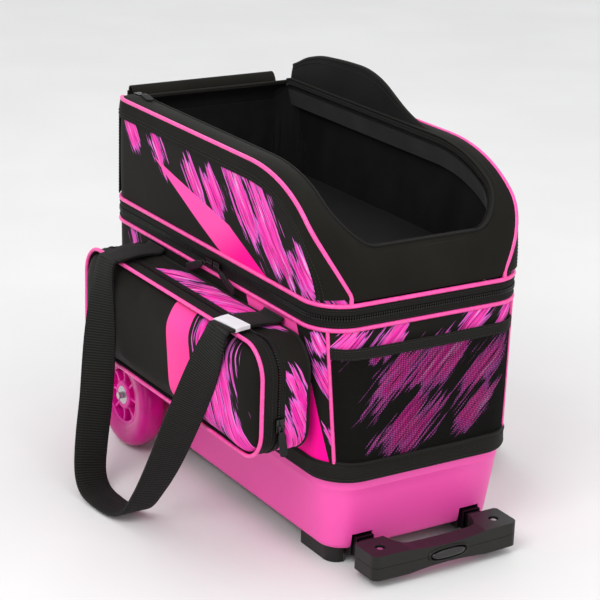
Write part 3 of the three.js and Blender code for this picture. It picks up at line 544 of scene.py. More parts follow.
def slab(name, outer, inner, material, body, u, v, held=None, backing=None, **rest):
    """Closed sheet between two grids of the same size; u belongs to columns and v to rows.

    held is not used beyond working out the cloth's mean lengths, which nothing keeps, and backing is
    the material of its inner face where that isn't the same.
    """
    outer, inner = np.array(outer), np.array(inner)
    rows, columns = outer.shape[:2]
    size = rows * columns
    faces, corners = grid_faces(rows, columns)
    back = [[size + i for i in face] for face in faces]
    rim = [(0, j) for j in range(columns)] + [(i, columns - 1) for i in range(1, rows)]
    rim += [(rows - 1, j) for j in range(columns - 2, -1, -1)] + [(i, 0) for i in range(rows - 2, 0, -1)]
    side, side_corners = [], []
    for (r0, c0), (r1, c1) in zip(rim, rim[1:] + rim[:1]):
        first, second = r0 * columns + c0, r1 * columns + c1
        side.append([first, second, size + second, size + first])
        side_corners += [(r0, c0), (r1, c1), (r1, c1), (r0, c0)]
    u = np.broadcast_to(u, (rows, columns))
    v = np.broadcast_to(v if np.ndim(v) == 2 else np.reshape(v, (-1, 1)), (rows, columns))
    uvs = [(u[corner], v[corner]) for corner in corners + corners + side_corners]
    verts = np.concatenate([outer.reshape(-1, 3), inner.reshape(-1, 3)])
    piece = make(name, verts, faces + back + side, material, body, uvs, **rest)
    if backing:
        piece.data.materials.append(M[backing])
        for index in range(len(faces), 2 * len(faces)):
            piece.data.polygons[index].material_index = 1
    if held:
        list(mean_lengths(outer))
    return piece


def stacked(rings, offset=0):
    """Faces of a closed loft, and the (row, column) of each corner of its sides."""
    count, sides = np.shape(rings)[:2]
    faces, corners = grid_faces(count, sides, offset, False, True)
    ends = [[offset + first + i for i in range(sides)] for first in (0, (count - 1) * sides)]
    return faces + ends, corners


def loft(name, rings, material, body, closed=False, lengthwise=False, **rest):
    """Tube through rings of equal length, capped or joined end to end.

    u runs round and v runs along, or the other way about if it is lengthwise.
    """
    rings = np.asarray(rings, float)
    count, sides = rings.shape[:2]
    faces, corners = grid_faces(count, sides, 0, True, True) if closed else stacked(rings)
    u = np.mean([steps_along(joined(ring)) for ring in rings], axis=0)
    path = rings.mean(axis=1)
    v = steps_along(joined(path) if closed else path)
    uvs = [(v[r], u[c]) if lengthwise else (u[c], v[r]) for r, c in corners]
    if not closed:
        uvs += [(0.0, 0.0)] * (2 * sides)
    return make(name, rings.reshape(-1, 3), faces, material, body, uvs, **rest)


def many(name, parts, material, body, **rest):
    """One piece from several closed lofts, each given as its rings."""
    verts, faces, uvs = [], [], []
    for rings in parts:
        cells, corners = stacked(rings, len(verts))
        verts += list(np.reshape(rings, (-1, 3)))
        faces += cells
        uvs += [(3.0 * c, 3.0 * r) for r, c in corners] + [(0.0, 0.0)] * (2 * np.shape(rings)[1])
    return make(name, np.array(verts), faces, material, body, uvs, **rest)


def smooth_route(points, per_gap=5):
    """Catmull-Rom curve through rows of numbers."""
    points = np.asarray(points, float)
    padded = np.concatenate([2 * points[:1] - points[1:2], points, 2 * points[-1:] - points[-2:-1]])
    result = []
    for a, b, c, d in zip(padded, padded[1:], padded[2:], padded[3:]):
        for t in np.arange(per_gap) / per_gap:
            result.append(0.5 * (2 * b + (c - a) * t + (2 * a - 5 * b + 4 * c - d) * t * t
                                 + (3 * b - a - 3 * c + d) * t ** 3))
    return np.array(result + [points[-1]])


def directions(path, closed=False):
    return unit(np.roll(path, -1, axis=0) - np.roll(path, 1, axis=0) if closed else np.gradient(path, axis=0))


def tube(name, path, radius, material, body, sides=10, closed=False, **rest):
    """Round section carried along a path without twist jumps."""
    along = directions(path, closed)
    across = np.cross(along[0], (0, 0, 1))
    if np.linalg.norm(across) < 0.1:
        across = np.cross(along[0], (1, 0, 0))
    rings = []
    for place, forward in zip(path, along):
        across = unit(across - forward * across.dot(forward))
        rings.append(round_ring(place, radius, across, np.cross(forward, across), sides))
    return loft(name, rings, material, body, closed, True, **rest)


STITCH_PITCH, STITCH_LIFT = 3.6, 0.15
STITCH = ((-0.36, 0.12), (-0.28, 0.42), (0.0, 0.55), (0.28, 0.42), (0.36, 0.12))
COIL_PITCH, COIL_REACH = 2.9, 1.25
COIL = ((-1.0, 0.3), (-0.8, 0.85), (0.0, 1.0), (0.8, 0.85), (1.0, 0.3))


def spaced(run, pitch):
    """Running lengths at the middles of equal steps of about one pitch."""
    count = int(run[-1] / pitch)
    return (np.arange(count) + 0.5) * run[-1] / count


def stitches(name, path, out, body, closed=False, **rest):
    """A row of thread stitches along a path; out is the way off the cloth at each point."""
    if closed:
        path, out = joined(path), joined(out)
    run = steps_along(path)
    parts = []
    for middle in spaced(run, STITCH_PITCH):
        back, ahead = sample(path, run, [middle - 1, middle + 1])
        forward = unit(ahead - back)
        normal = unit(sample(out, run, middle))
        centre = (back + ahead) / 2 + normal * STITCH_LIFT
        parts.append([round_ring(centre + forward * share * STITCH_PITCH, size,
                                 np.cross(forward, normal), normal, 6) for share, size in STITCH])
    return many(name, parts, "thread", body, **rest)


def zipper_teeth(name, path, out, across, body):
    """A row of coil turns: small rounded bars that lie across the tape."""
    run = steps_along(path)
    parts = []
    for middle in spaced(run, COIL_PITCH):
        place = sample(path, run, middle)
        normal, side = (unit(sample(rows, run, middle)) for rows in (out, across))
        parts.append([round_ring(place + side * share * COIL_REACH, size, np.cross(side, normal), normal, 6)
                      for share, size in COIL])
    return many(name, parts, "black_metal", body, slot="zipper_tape")


@np.vectorize
def fold(x, y, z, scale, seed):
    """Smooth noise from -1 to 1."""
    return noise.noise(Vector((x / scale + seed, y / scale, z / scale)))


def same(way, count):
    """One direction, repeated for each point of a path."""
    return np.tile(np.array(way, float), (count, 1))


# ---------------------------------------------------------------- plan of the bag

SIDE_TURN = {NEAR: [(1, 0), (0, -1)], FRONT: [(0, 1), (1, 0)], FAR: [(-1, 0), (0, 1)],
             REAR: [(0, -1), (-1, 0)]}
BEND_SHARE = 0.15


def plan(side, share, size, corner=45.0):
    """Points and outward directions on one side of a rounded rectangle, from corner to corner.

    size is (length, width, radius); corner is how far round its two corners the side reaches, in degrees.
    """
    length, width, radius = size
    half, reach = (length / 2, width / 2) if side in (NEAR, FAR) else (width / 2, length / 2)
    straight = half - radius
    turn = np.where(share < BEND_SHARE, (share / BEND_SHARE - 1) * corner, 0)
    turn = np.where(share > 1 - BEND_SHARE, ((share - 1) / BEND_SHARE + 1) * corner, turn)
    turn = np.radians(turn)
    along = np.clip((share - BEND_SHARE) / (1 - 2 * BEND_SHARE), 0, 1) * 2 * straight - straight
    local = np.stack([along + radius * np.sin(turn), reach - radius + radius * np.cos(turn)], -1)
    normal = np.stack([np.sin(turn), np.cos(turn)], -1)
    return local @ SIDE_TURN[side], normal @ SIDE_TURN[side]


def outline(size, per_side):
    """Closed rounded rectangle round the origin, and its outward directions."""
    sides = [plan(side, np.arange(per_side) / per_side, size) for side in SIDES]
    return [np.concatenate(part) for part in zip(*sides)]


def raised(flat, z):
    return np.column_stack([flat, np.broadcast_to(z, len(flat))])


def body_size(z):
    """Plan of the ball compartment at a height."""
    share = (z - HEM_Z) / (LOWER_Z - HEM_Z)
    return (HEM_LENGTH + (BAG_LENGTH - HEM_LENGTH) * share, HEM_WIDTH + (BAG_WIDTH - HEM_WIDTH) * share,
            CORNER_RADIUS)


def bag_size(z=0):
    """Plan of the straight upper part, which is the same at every height."""
    return BAG_LENGTH, BAG_WIDTH, CORNER_RADIUS


def around_bag(size_at, z, outward=0.0, per_side=40):
    """Closed ring of points round the bag at one height, with their outward directions."""
    place, normal = outline(size_at(z), per_side)
    return raised(place + normal * outward, z), raised(normal, 0.0)


def band(name, size_at, profile, material, body, **rest):
    """Level band round the bag with a section of (outward, height) points."""
    rings = np.stack([around_bag(size_at, z, outward)[0] for outward, z in profile], axis=1)
    return loft(name, rings, material, body, closed=True, lengthwise=True, **rest)


def relief(share, height, bulge, seed, folds=0.5):
    """Push of a stitched panel: crowned, drawn in at its edges, with a few soft folds."""
    crown = np.sin(np.pi * share) ** 0.6 * np.sin(np.pi * height) ** 0.6
    waves = fold(share * 300, height * 120, 0, 38, seed) * folds
    waves = waves + fold(share * 300, height * 60, 5, 14, seed) * folds * 0.35
    edge = np.minimum(1, 6 * np.minimum(np.minimum(share, 1 - share), min(height, 1 - height)))
    return bulge * crown + waves * edge


def upright_panel(name, rows, bulge, seed, material, body, replaces):
    """Cloth panel through rows of (places, outward directions, heights), lined on its inner face."""
    shares = np.linspace(0, 1, len(rows[0][0]))
    outer, inner, v = [], [], []
    for level, (place, normal, z) in zip(np.linspace(0, 1, len(rows)), rows):
        push = relief(shares, level, bulge, seed)[:, None]
        outer.append(raised(place + normal * push, z))
        inner.append(raised(place + normal * (push - WALL), z))
        v.append(np.broadcast_to(z, len(shares)))
    u = steps_along(rows[len(rows) // 2][0])
    slab(name, outer, inner, material, body, u - u[-1] / 2, np.array(v), "stretched", "lining",
         replaces=[replaces])


# ---------------------------------------------------------------- base tray, feet and axle mounts

def tray_size(z, inset=0.0):
    """Plan of the tapering tray at a height."""
    share = (z - TRAY_BOTTOM_Z) / (HEM_Z - TRAY_BOTTOM_Z)
    length = TRAY_BOTTOM[0] + (HEM_LENGTH - 3 - TRAY_BOTTOM[0]) * share
    width = TRAY_BOTTOM[1] + (HEM_WIDTH - 3 - TRAY_BOTTOM[1]) * share
    radius = TRAY_BOTTOM[2] + (CORNER_RADIUS - 1.5 - TRAY_BOTTOM[2]) * share
    return length - 2 * inset, width - 2 * inset, radius - inset


def cut_away(piece, cutter):
    """Takes the cutter out of a piece, and the cutter out of the scene."""
    modifier = piece.modifiers.new("cut", "BOOLEAN")
    modifier.operation = "DIFFERENCE"
    modifier.object = cutter
    modifier.solver = "EXACT"
    apply_modifiers(piece)
    bpy.data.objects.remove(cutter)


def apply_modifiers(piece):
    graph = bpy.context.evaluated_depsgraph_get()
    made = bpy.data.meshes.new_from_object(piece.evaluated_get(graph))
    old = piece.data
    piece.modifiers.clear()
    piece.data = made
    bpy.data.meshes.remove(old)


def tray():
    levels = [(TRAY_UNDERSIDE_Z, 5.2), (TRAY_BOTTOM_Z + 1, 5.2), (TRAY_BOTTOM_Z, 4.2)]
    for angle in np.arange(6) * math.pi / 10:
        levels.append((TRAY_BOTTOM_Z + TRAY_ROUNDING * (1 - math.cos(angle)),
                       TRAY_ROUNDING * 0.5 * (1 - math.sin(angle))))
    bead = [(91, 0.0), (92, -0.4), (93, 0.0)]
    levels += [(45, 0), (65, 0), (80, 0), *bead, (HEM_Z - 0.6, 0.0), (HEM_Z - 0.6, TRAY_WALL),
               (TRAY_FLOOR_Z, TRAY_WALL)]
    rings = [raised(outline(tray_size(z, inset), 36)[0], z) for z, inset in levels]
    piece = loft("tray_shell", rings, "tray", None, sharp=35)
    for node in ("handle_sleeve_near", "handle_sleeve_far"):
        low, high = node_box(node)
        bpy.ops.mesh.primitive_cube_add(size=1)
        cutter = bpy.context.object
        cutter.scale = (0.16, (high[1] - low[1] + 0.8) * MM, (high[2] - TRAY_BOTTOM_Z + 1.4) * MM)
        middle_z = (high[2] + 0.4 + TRAY_BOTTOM_Z - 1) / 2
        cutter.location = (high[0] * MM, (low[1] + high[1]) / 2 * MM, middle_z * MM)
        bpy.context.view_layer.update()
        cut_away(piece, cutter)
    piece.data.materials.clear()
    piece.data.materials.append(M["tray"])
    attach(piece, ROOT)
    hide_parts("base_tray")


def ring_xz(x0, x1, z0, z1, radius, y, per_side=14):
    """Closed rounded rectangle that stands in x and z at one y."""
    flat = outline((x1 - x0, z1 - z0, radius), per_side)[0]
    return np.column_stack([flat[:, 0] + (x0 + x1) / 2, np.full(len(flat), y), flat[:, 1] + (z0 + z1) / 2])


def round_xz(x, z, radius, y, sides=32):
    cosines, sines = around(sides)
    return np.column_stack([x + radius * cosines, np.full(sides, y), z + radius * sines])


def squarish(sides, power):
    """Cosines and sines of a circle whose sides are flattened, the more so the smaller the power."""
    return [np.sign(part) * np.abs(part) ** power for part in around(sides)]


def axle_mounts():
    for name, node, side in (("near", "wheel_axle_near", -1), ("far", "wheel_axle_far", 1)):
        low, high = node_box(node)
        x, z = (low[0] + high[0]) / 2 - MIDDLE_X, (low[2] + high[2]) / 2
        plate = [(108, 0), (115.5, 0), (117, 0.5), (117.5, 2)]
        rings = [ring_xz(x - 30 + i, x + 30 - i, z - 19 + i, z + 19 - i, 9, side * y) for y, i in plate]
        boss = [(116, 15.5), (118, 14.2), (122, 14), (122.8, 13.2)]
        collar = [round_xz(x, z, r, side * y) for y, r in boss]
        many(f"axle_mount_{name}", [rings, collar], "tray", ROOT)


# ---------------------------------------------------------------- ball compartment

def ball_compartment():
    heights = np.linspace(HEM_Z + 1, LOWER_Z - 2.4, 34)
    walls = (("near", NEAR, "body_near", 2.0), ("front", FRONT, "body_front", 1.6),
             ("far", FAR, "body_far", 2.0), ("rear", REAR, "cloth", 2.0))
    for name, side, material, bulge in walls:
        rows = [(*plan(side, np.linspace(0, 1, 61), body_size(z)), z) for z in heights]
        upright_panel(f"body_cloth_{name}", rows, bulge, side * 7.0, material, ROOT, f"body_panel_{name}")
        path = []
        for z in np.linspace(HEM_Z + 18.5, LOWER_Z - 1, 16):
            place, normal = plan(side, np.array([0.0]), body_size(z))
            path.append([*(place[0] + normal[0] * 0.6), z])
        tube(f"corner_piping_{name}", np.array(path), 2.1, "piping", ROOT, 12)
    trim = [(0.5, HEM_Z - 2), (2.3, HEM_Z - 2), (3.1, HEM_Z - 0.6), (3.3, HEM_Z + 5), (3.0, HEM_Z + 9),
            (3.2, HEM_Z + 14), (2.9, HEM_Z + 18), (2.1, HEM_Z + 19), (0.5, HEM_Z + 19)]
    band("hem_binding", body_size, trim, "binding", ROOT, replaces=["base_binding"])
    for index, z in enumerate((HEM_Z + 1.5, HEM_Z + 15.5)):
        path, out = around_bag(body_size, z, 3.2)
        stitches(f"hem_stitching_{index}", path, out, ROOT, closed=True)
    for name, z, body in (("lower", LOWER_Z, ROOT), ("upper", UPPER_Z, TOP)):
        path, _ = around_bag(bag_size, z, 1.0, 48)
        tube(f"{name}_piping_cord", path, PIPING_RADIUS * 0.8, "piping", body, 14, True,
             replaces=[f"{name}_piping"])


def main_zipper():
    middle = (LOWER_Z + UPPER_Z) / 2
    section = [(-1.2, 10.4), (1.2, 10.4), (2.0, 9.0), (1.5, 7.2), (2.1, 5.6), (1.5, 3.8), (1.7, 2.2),
               (1.2, 0.7), (-1.2, 0.7)]
    for name, body, sign in (("lower", ROOT, -1), ("upper", TOP, 1)):
        profile = [(outward, middle + sign * up) for outward, up in section]
        band(f"main_zipper_tape_{name}", bag_size, profile, "tape", body,
             replaces=[f"main_zipper_{name}_tape"])
        path, out = (joined(rows) for rows in around_bag(bag_size, middle + sign * 1.3, 2.1, 60))
        zipper_teeth(f"main_zipper_teeth_{name}", path, out, same((0, 0, 1), len(path)), body)
        row, row_out = around_bag(bag_size, middle + sign * 8.2, 2.0, 60)
        stitches(f"main_zipper_stitching_{name}", row, row_out, body, closed=True, slot="zipper_tape")


# ---------------------------------------------------------------- shoe compartment

def silhouette():
    """Side profile from the rear foot over the top to the front foot, as (x, z) rows."""
    half, foot_z = BAG_LENGTH / 2, UPPER_Z + 3.6
    rise = np.column_stack([np.full(12, -half), np.linspace(foot_z, TOP_Z - SILHOUETTE_CORNER, 12)])
    angles = np.linspace(math.pi, math.pi / 2, 12)[1:]
    arc = np.column_stack([-half + SILHOUETTE_CORNER * (1 + np.cos(angles)),
                           TOP_Z - SILHOUETTE_CORNER * (1 - np.sin(angles))])
    deck = np.column_stack([np.linspace(-half + SILHOUETTE_CORNER, SLOPE_X, 40)[1:], np.full(39, TOP_Z)])
    t = np.linspace(0, 1, 40)[1:, None]
    corners = np.array([(SLOPE_X, TOP_Z), (180, TOP_Z), (half - 4, 362), (half, UPPER_Z)], float)
    slope = ((1 - t) ** 3 * corners[0] + 3 * (1 - t) ** 2 * t * corners[1]
             + 3 * (1 - t) * t * t * corners[2] + t ** 3 * corners[3])
    slope = slope[slope[:, 1] > foot_z]
    last, end = slope[-1], corners[3]
    foot = [(np.interp(foot_z, [end[1], last[1]], [end[0], last[0]]), foot_z)]
    return np.concatenate([rise, arc, deck, slope, foot])


PROFILE = silhouette()
PROFILE_RUN = steps_along(PROFILE)
PROFILE_OUT = directions(PROFILE) @ [(0, 1), (-1, 0)]
# The profile from where its top begins
TOP_EDGE = PROFILE[int(np.argmax(PROFILE[:, 0] > -BAG_LENGTH / 2 + 0.01)) - 1:]


def profile_at(run):
    """(x, z) and outward (x, z) at a running length of the profile."""
    return sample(PROFILE, PROFILE_RUN, run), unit(sample(PROFILE_OUT, PROFILE_RUN, run))


def run_at(x):
    """Running length at which the top of the profile passes x."""
    return float(np.interp(x, TOP_EDGE[1:, 0], PROFILE_RUN[-len(TOP_EDGE) + 1:]))


def edge_y(x):
    """Half width of the bag at x, where the side panels meet the gusset."""
    beyond = np.clip(np.abs(x) - (BAG_LENGTH / 2 - CORNER_RADIUS), 0, CORNER_RADIUS - 1)
    return BAG_WIDTH / 2 - CORNER_RADIUS + np.sqrt(CORNER_RADIUS ** 2 - beyond ** 2)


def lifted(run, y, lift=0.0):
    """Points on the gusset surface, or above it by a lift."""
    place, out = profile_at(run)
    place = place + out * np.asarray(lift)[..., None]
    return np.stack([place[..., 0], y, place[..., 1]], -1)


def top_panels():
    widest = math.degrees(math.asin((CORNER_RADIUS - 1) / CORNER_RADIUS))
    bottom = UPPER_Z + 1.5
    for name, side, sign in (("near", NEAR, -1), ("far", FAR, 1)):
        place, normal = plan(side, np.linspace(0, 1, 97), bag_size(), widest)
        tops = np.interp(place[:, 0], TOP_EDGE[:, 0], TOP_EDGE[:, 1]) - 0.4
        rows = [(place, normal, bottom + (tops - bottom) * level) for level in np.linspace(0, 1, 30)]
        upright_panel(f"top_cloth_{name}", rows, 3.0, 3.0 + side, f"top_{name}", TOP, f"top_panel_{name}")
        edge_trim(name, sign)


def edge_trim(name, sign):
    """Piping along the edge, and the plain facing sewn below it with two rows of stitches."""
    place, out = profile_at(np.linspace(0, PROFILE_RUN[-1], 150))
    path = np.column_stack([place[:, 0], sign * edge_y(place[:, 0]), place[:, 1]])
    path = np.concatenate([path[:1], path, path[-1:]])
    path[[0, -1], 2] = UPPER_Z + 0.8
    tube(f"edge_piping_cord_{name}", path, PIPING_RADIUS * 0.8, "piping", TOP, 14,
         replaces=[f"edge_piping_{name}"])
    deep = 21.0
    share = np.linspace(0, 1, 7)[:, None, None]
    sunk = place - out * deep * share
    x = np.clip(sunk[..., 0], -BAG_LENGTH / 2 + 1, BAG_LENGTH / 2 - 1)
    half = edge_y(x)
    beyond = np.maximum(np.abs(x) - (BAG_LENGTH / 2 - CORNER_RADIUS), 0)
    sideways = sign * (half - BAG_WIDTH / 2 + CORNER_RADIUS)
    normals = unit(np.stack([np.copysign(beyond, x), sideways, 0 * x], -1))
    rise = 0.4 + 3.2 * np.sin(np.pi * np.minimum(1, 0.08 + 0.5 * share)) ** 0.7
    rows = np.stack([x, sign * half, sunk[..., 1]], -1) + normals * rise
    usable = np.all(rows[:, :, 2] > UPPER_Z + 2.5, axis=0)
    rows, normals = rows[:, usable], normals[:, usable]
    slab(f"edge_facing_{name}", rows, rows - normals * 1.4, "cloth", TOP, steps_along(rows[0]),
         np.linspace(0, deep, 7))
    for row in (4, 5):
        stitches(f"edge_stitching_{name}_{row}", rows[row], normals[row], TOP)


def opening_curve(per_straight=44, per_corner=14):
    """Edge of the opening on the gusset and the outer line opposite it, as (run, y) rows.

    The cloth stops short of the opening by its binding, which leaves the closed lid its clearance.
    """
    radius, end = OPENING_RADIUS + RIM, PROFILE_RUN[-1]
    low_y, high_y = OPENING_NEAR_Y + OPENING_RADIUS, OPENING_FAR_Y - OPENING_RADIUS
    straight = np.linspace(OPENING_REAR_X, BEND_X, per_straight)
    halves = []
    for sign, side_y, bend_y in ((-1, OPENING_NEAR_Y - RIM, low_y), (1, OPENING_FAR_Y + RIM, high_y)):
        inner = [(run_at(x), side_y) for x in straight]
        outer = [(run_at(x), sign * edge_y(x)) for x in straight]
        edge = [(run, sign * edge_y(profile_at(run)[0][0])) for run in np.linspace(run_at(BEND_X), end, 30)]
        edge += [(end, y) for y in np.linspace(edge[-1][1], bend_y, 10)[1:]]
        lengths = steps_along(edge)
        for share in np.arange(1, per_corner + 1) / per_corner:
            turn = (1 - share) * math.pi / 2
            inner.append((run_at(BEND_X + radius * math.cos(turn)), bend_y + sign * radius * math.sin(turn)))
            outer.append(tuple(sample(edge, lengths, share * lengths[-1])))
        halves.append((inner, outer))
    (near_inner, near_outer), (far_inner, far_outer) = halves
    across = np.linspace(low_y, high_y, 26)[1:-1]
    inner = near_inner + [(run_at(OPENING_FRONT_X + RIM), y) for y in across] + far_inner[::-1]
    outer = near_outer + [(end, y) for y in across] + far_outer[::-1]
    return np.array(inner), np.array(outer)


def gusset():
    inner, outer = opening_curve()
    level = np.linspace(0, 1, 14)[:, None]
    run, y = (outer[:, k] + (inner[:, k] - outer[:, k]) * level for k in (0, 1))
    span = np.hypot(*(inner - outer).T)
    swell = np.sin(np.pi * level)
    crown = 0.3 + np.minimum(4.0, span * 0.09) * swell ** 0.7 + 0.5 * fold(run, y, 0, 45, 2.0) * swell
    top = lifted(run, y, crown)
    slab("gusset_cloth", top, lifted(run, y, crown - WALL), "cloth", TOP, steps_along(top[7]),
         level[:, 0] * 40, "stretched", "lining", replaces=["top_gusset"])
    rim = lifted(*inner.T, 0.6)
    out = np.insert(profile_at(inner[:, 0])[1], 1, 0.0, axis=1)
    tube("opening_binding", rim, BINDING_RADIUS, "binding", TOP)
    inward = unit(np.cross(directions(rim), out))
    if inward[len(inward) // 2][0] > 0:
        inward = -inward
    stitches("opening_stitching", rim - inward * 7.0 + out * 0.9, out, TOP)
    opening_lip(rim, out, inward)


def opening_lip(rim, out, inward):
    """Zipper tape that hangs from the rim, its teeth, and the felt facing below them."""
    rows = [(0.6, -0.5), (1.6, -3.0), (2.0, -6.0), (1.6, -9.5), (1.0, -12.0)]
    run = steps_along(rim)
    front = np.array([rim + inward * a + out * b for a, b in rows])
    slab("opening_tape", front, front - inward * 1.2, "tape", TOP, run, [b for _, b in rows])
    zipper_teeth("opening_teeth", rim + inward * 2.9 - out * 6.4, inward, out, TOP)
    share = np.linspace(0, 1, 7)
    depth = share[:, None, None]
    drop = rim + inward * (1 - 3.5 * depth) - out * 11 * (1 - depth * 0.2) - depth * (0, 0, 24)
    slab("opening_felt", drop, drop - inward * 2.0, "felt", TOP, run, share * 24, "stretched")


def far_flap():
    """Stiffened flap that stands along the far side of the opening, with a sewn channel near its top."""
    xs = np.linspace(-221, 66, 60)
    crest = np.array([(-221, 14), (-200, 28), (-160, 39), (-110, 43), (-60, 44), (-25, 36), (0, 22), (30, 8),
                      (66, -1)])
    rises = np.interp(xs, crest[:, 0], crest[:, 1])
    tops = np.convolve(np.pad(rises, 3, mode="edge"), np.ones(7) / 7, "valid") + TOP_Z
    level = np.linspace(0, 1, 14)[:, None]
    z = TOP_Z - 3 + (tops - TOP_Z + 3) * level
    y = OPENING_FAR_Y + 2.4 + 1.2 * (1 + fold(xs, 0, z, 60, 4.0)) * level + 2.0 * level * level
    inner = np.stack([np.broadcast_to(xs, z.shape), y, z], -1)
    outer = inner + (0, 3.0, 0)
    slab("far_flap_cloth", inner, outer, "lining", TOP, xs, level[:, 0] * 44, "stretched")
    tube("far_flap_binding", (inner[-1] + outer[-1]) / 2, 2.3, "binding", TOP)
    facing = same((0, -1, 0), len(xs))
    stitches("far_flap_stitching", inner[11] + facing * 0.2, facing, TOP)


def rear_panel():
    """Rear wall of the shoe compartment, rolled over at its top edge."""
    level, share = np.linspace(0, 1, 26)[:, None], np.linspace(-1, 1, 31)
    run = level * run_at(OPENING_REAR_X)
    y = share * edge_y(profile_at(run)[0][..., 0])
    crown = 2.0 * (1 - share ** 2) * np.sin(np.pi * level) ** 0.6
    crown = crown + 0.5 * fold(share * 90, run, 0, 35, 8.0) * (1 - share ** 4)
    runs = np.broadcast_to(run, y.shape)
    slab("rear_cloth", lifted(runs, y, crown), lifted(runs, y, crown - WALL), "cloth", TOP, share * 97,
         run[:, 0], "stretched", "lining", replaces=["top_rear_panel"])
    x, z = profile_at(run[-1, 0])[0]
    rim = np.array([(x, y, z - 1.3) for y in np.linspace(OPENING_NEAR_Y, OPENING_FAR_Y, 20)])
    tube("rear_rim_binding", rim, BINDING_RADIUS, "binding", TOP)


def compartment_lining():
    """Lining of the shoe compartment: a floor and four walls that fall in soft folds.

    It is a double-walled tub. The inner rings run down, a floor closes them, and the outer rings run up.
    """
    place, normal = outline(bag_size(), 60)
    sides = np.repeat(SIDES, 60)
    floor_z = UPPER_Z + 3
    ceiling = np.maximum(np.interp(place[:, 0], PROFILE[12:, 0], PROFILE[12:, 1]) - 7, floor_z + 8)
    length = place[:, 0] * abs(normal[:, 1]) + place[:, 1] * abs(normal[:, 0])
    rings = []
    for level in np.linspace(0, 1, 22):
        z = floor_z + (ceiling - floor_z) * level
        sway = fold(length, sides * 40, z * 0.22, 24, 1.5) * 3.0 + fold(length, sides * 9, z * 0.5, 9, 6.0)
        pull = 9 + (sway + 2) * math.sin(math.pi * min(1, level + 0.15))
        rings.append(raised(place - normal * pull[:, None], z))
    outside = [ring + 1.2 * unit(ring - ring.mean(axis=0)) for ring in rings]
    outside[0] = outside[0] - (0, 0, 2.5)
    levels = np.array(rings[::-1] + outside)
    count, points = levels.shape[:2]
    bottom = len(rings) - 1
    perimeter = steps_along(joined(levels[0]))
    faces, corners = grid_faces(count, points, 0, True, True)
    del faces[bottom * points:(bottom + 1) * points]
    del corners[4 * bottom * points:4 * (bottom + 1) * points]
    uvs = []
    for first in range(0, len(corners), 4):
        column = corners[first][1]
        uvs += [(perimeter[c], levels[r % count][column][2]) for r, c in corners[first:first + 4]]
    for ring in (bottom, bottom + 1):
        faces.append(list(range(ring * points, (ring + 1) * points)))
        uvs += [tuple(point[:2]) for point in levels[ring]]
    piece = make("shoe_lining", levels.reshape(-1, 3), faces, "lining", TOP, uvs,
                 replaces=["shoe_floor_panel"])


# ---------------------------------------------------------------- padded pieces by cloth simulation

def puff(name, rings, material, body, replaces, uv_axes=(0, 2), pressure=4.0, cap=6.0, voxel=5.0, pins=None):
    """Swells a closed shape as padded cloth. pins(point) gives how firmly a point is held, 0 to 1."""
    piece = new_object(name, closed_mesh(name, np.reshape(rings, (-1, 3)), stacked(rings)[0]))
    remesh = piece.modifiers.new("remesh", "REMESH")
    remesh.mode = "VOXEL"
    remesh.voxel_size = voxel * MM
    apply_modifiers(piece)
    rest_places = np.array([v.co for v in piece.data.vertices])
    simulate(piece, pressure)
    moved = np.array([v.co for v in piece.data.vertices])
    change = moved - rest_places
    far = np.linalg.norm(change, axis=1)[:, None]
    change = change * np.minimum(1, cap * MM / np.maximum(far, 1e-9))
    if pins is not None:
        held = np.array([pins(p) for p in rest_places / MM - (MIDDLE_X, 0, 0)])[:, None]
        change = change * (1 - held)
    piece.data.vertices.foreach_set("co", (rest_places + change).ravel())
    smooth = piece.modifiers.new("smooth", "SMOOTH")
    smooth.factor = 0.5
    smooth.iterations = 4
    refine = piece.modifiers.new("refine", "SUBSURF")
    refine.levels = refine.render_levels = 1
    apply_modifiers(piece)
    lay_uv(piece, uv_axes)
    piece.data.materials.clear()
    piece.data.materials.append(M[material])
    piece.data.shade_smooth()
    settle(piece, material, body, replaces)


def simulate(piece, pressure):
    scene = bpy.context.scene
    cloth = piece.modifiers.new("cloth", "CLOTH")
    settings = cloth.settings
    settings.use_pressure = True
    settings.uniform_pressure_force = pressure
    settings.mass = 0.3
    settings.tension_stiffness = settings.compression_stiffness = 15
    settings.bending_stiffness = 0.5
    settings.effector_weights.gravity = 0
    cloth.collision_settings.use_self_collision = False
    cloth.point_cache.frame_start = 1
    cloth.point_cache.frame_end = 20
    for step in range(1, 21):
        scene.frame_set(step)
    apply_modifiers(piece)
    scene.frame_set(1)


def lay_uv(piece, axes):
    """UVs straight from two of a mesh's own directions, in metres from the bag's middle."""
    mesh = piece.data
    layer = mesh.uv_layers.get("uv") or mesh.uv_layers.new(name="uv")
    co = np.array([v.co for v in mesh.vertices]) - (MIDDLE_X * MM, 0, 0)
    corners = np.array([loop.vertex_index for loop in mesh.loops])
    layer.data.foreach_set("uv", co[corners][:, list(axes)].ravel())


# ---------------------------------------------------------------- accessory pocket

def pocket_loop(inset, y, per_side=40):
    (x0, x1), (z0, z1) = POCKET_X, POCKET_Z
    return ring_xz(x0 + inset, x1 - inset, z0 + inset, z1 - inset, POCKET_RADIUS - inset, y, per_side)


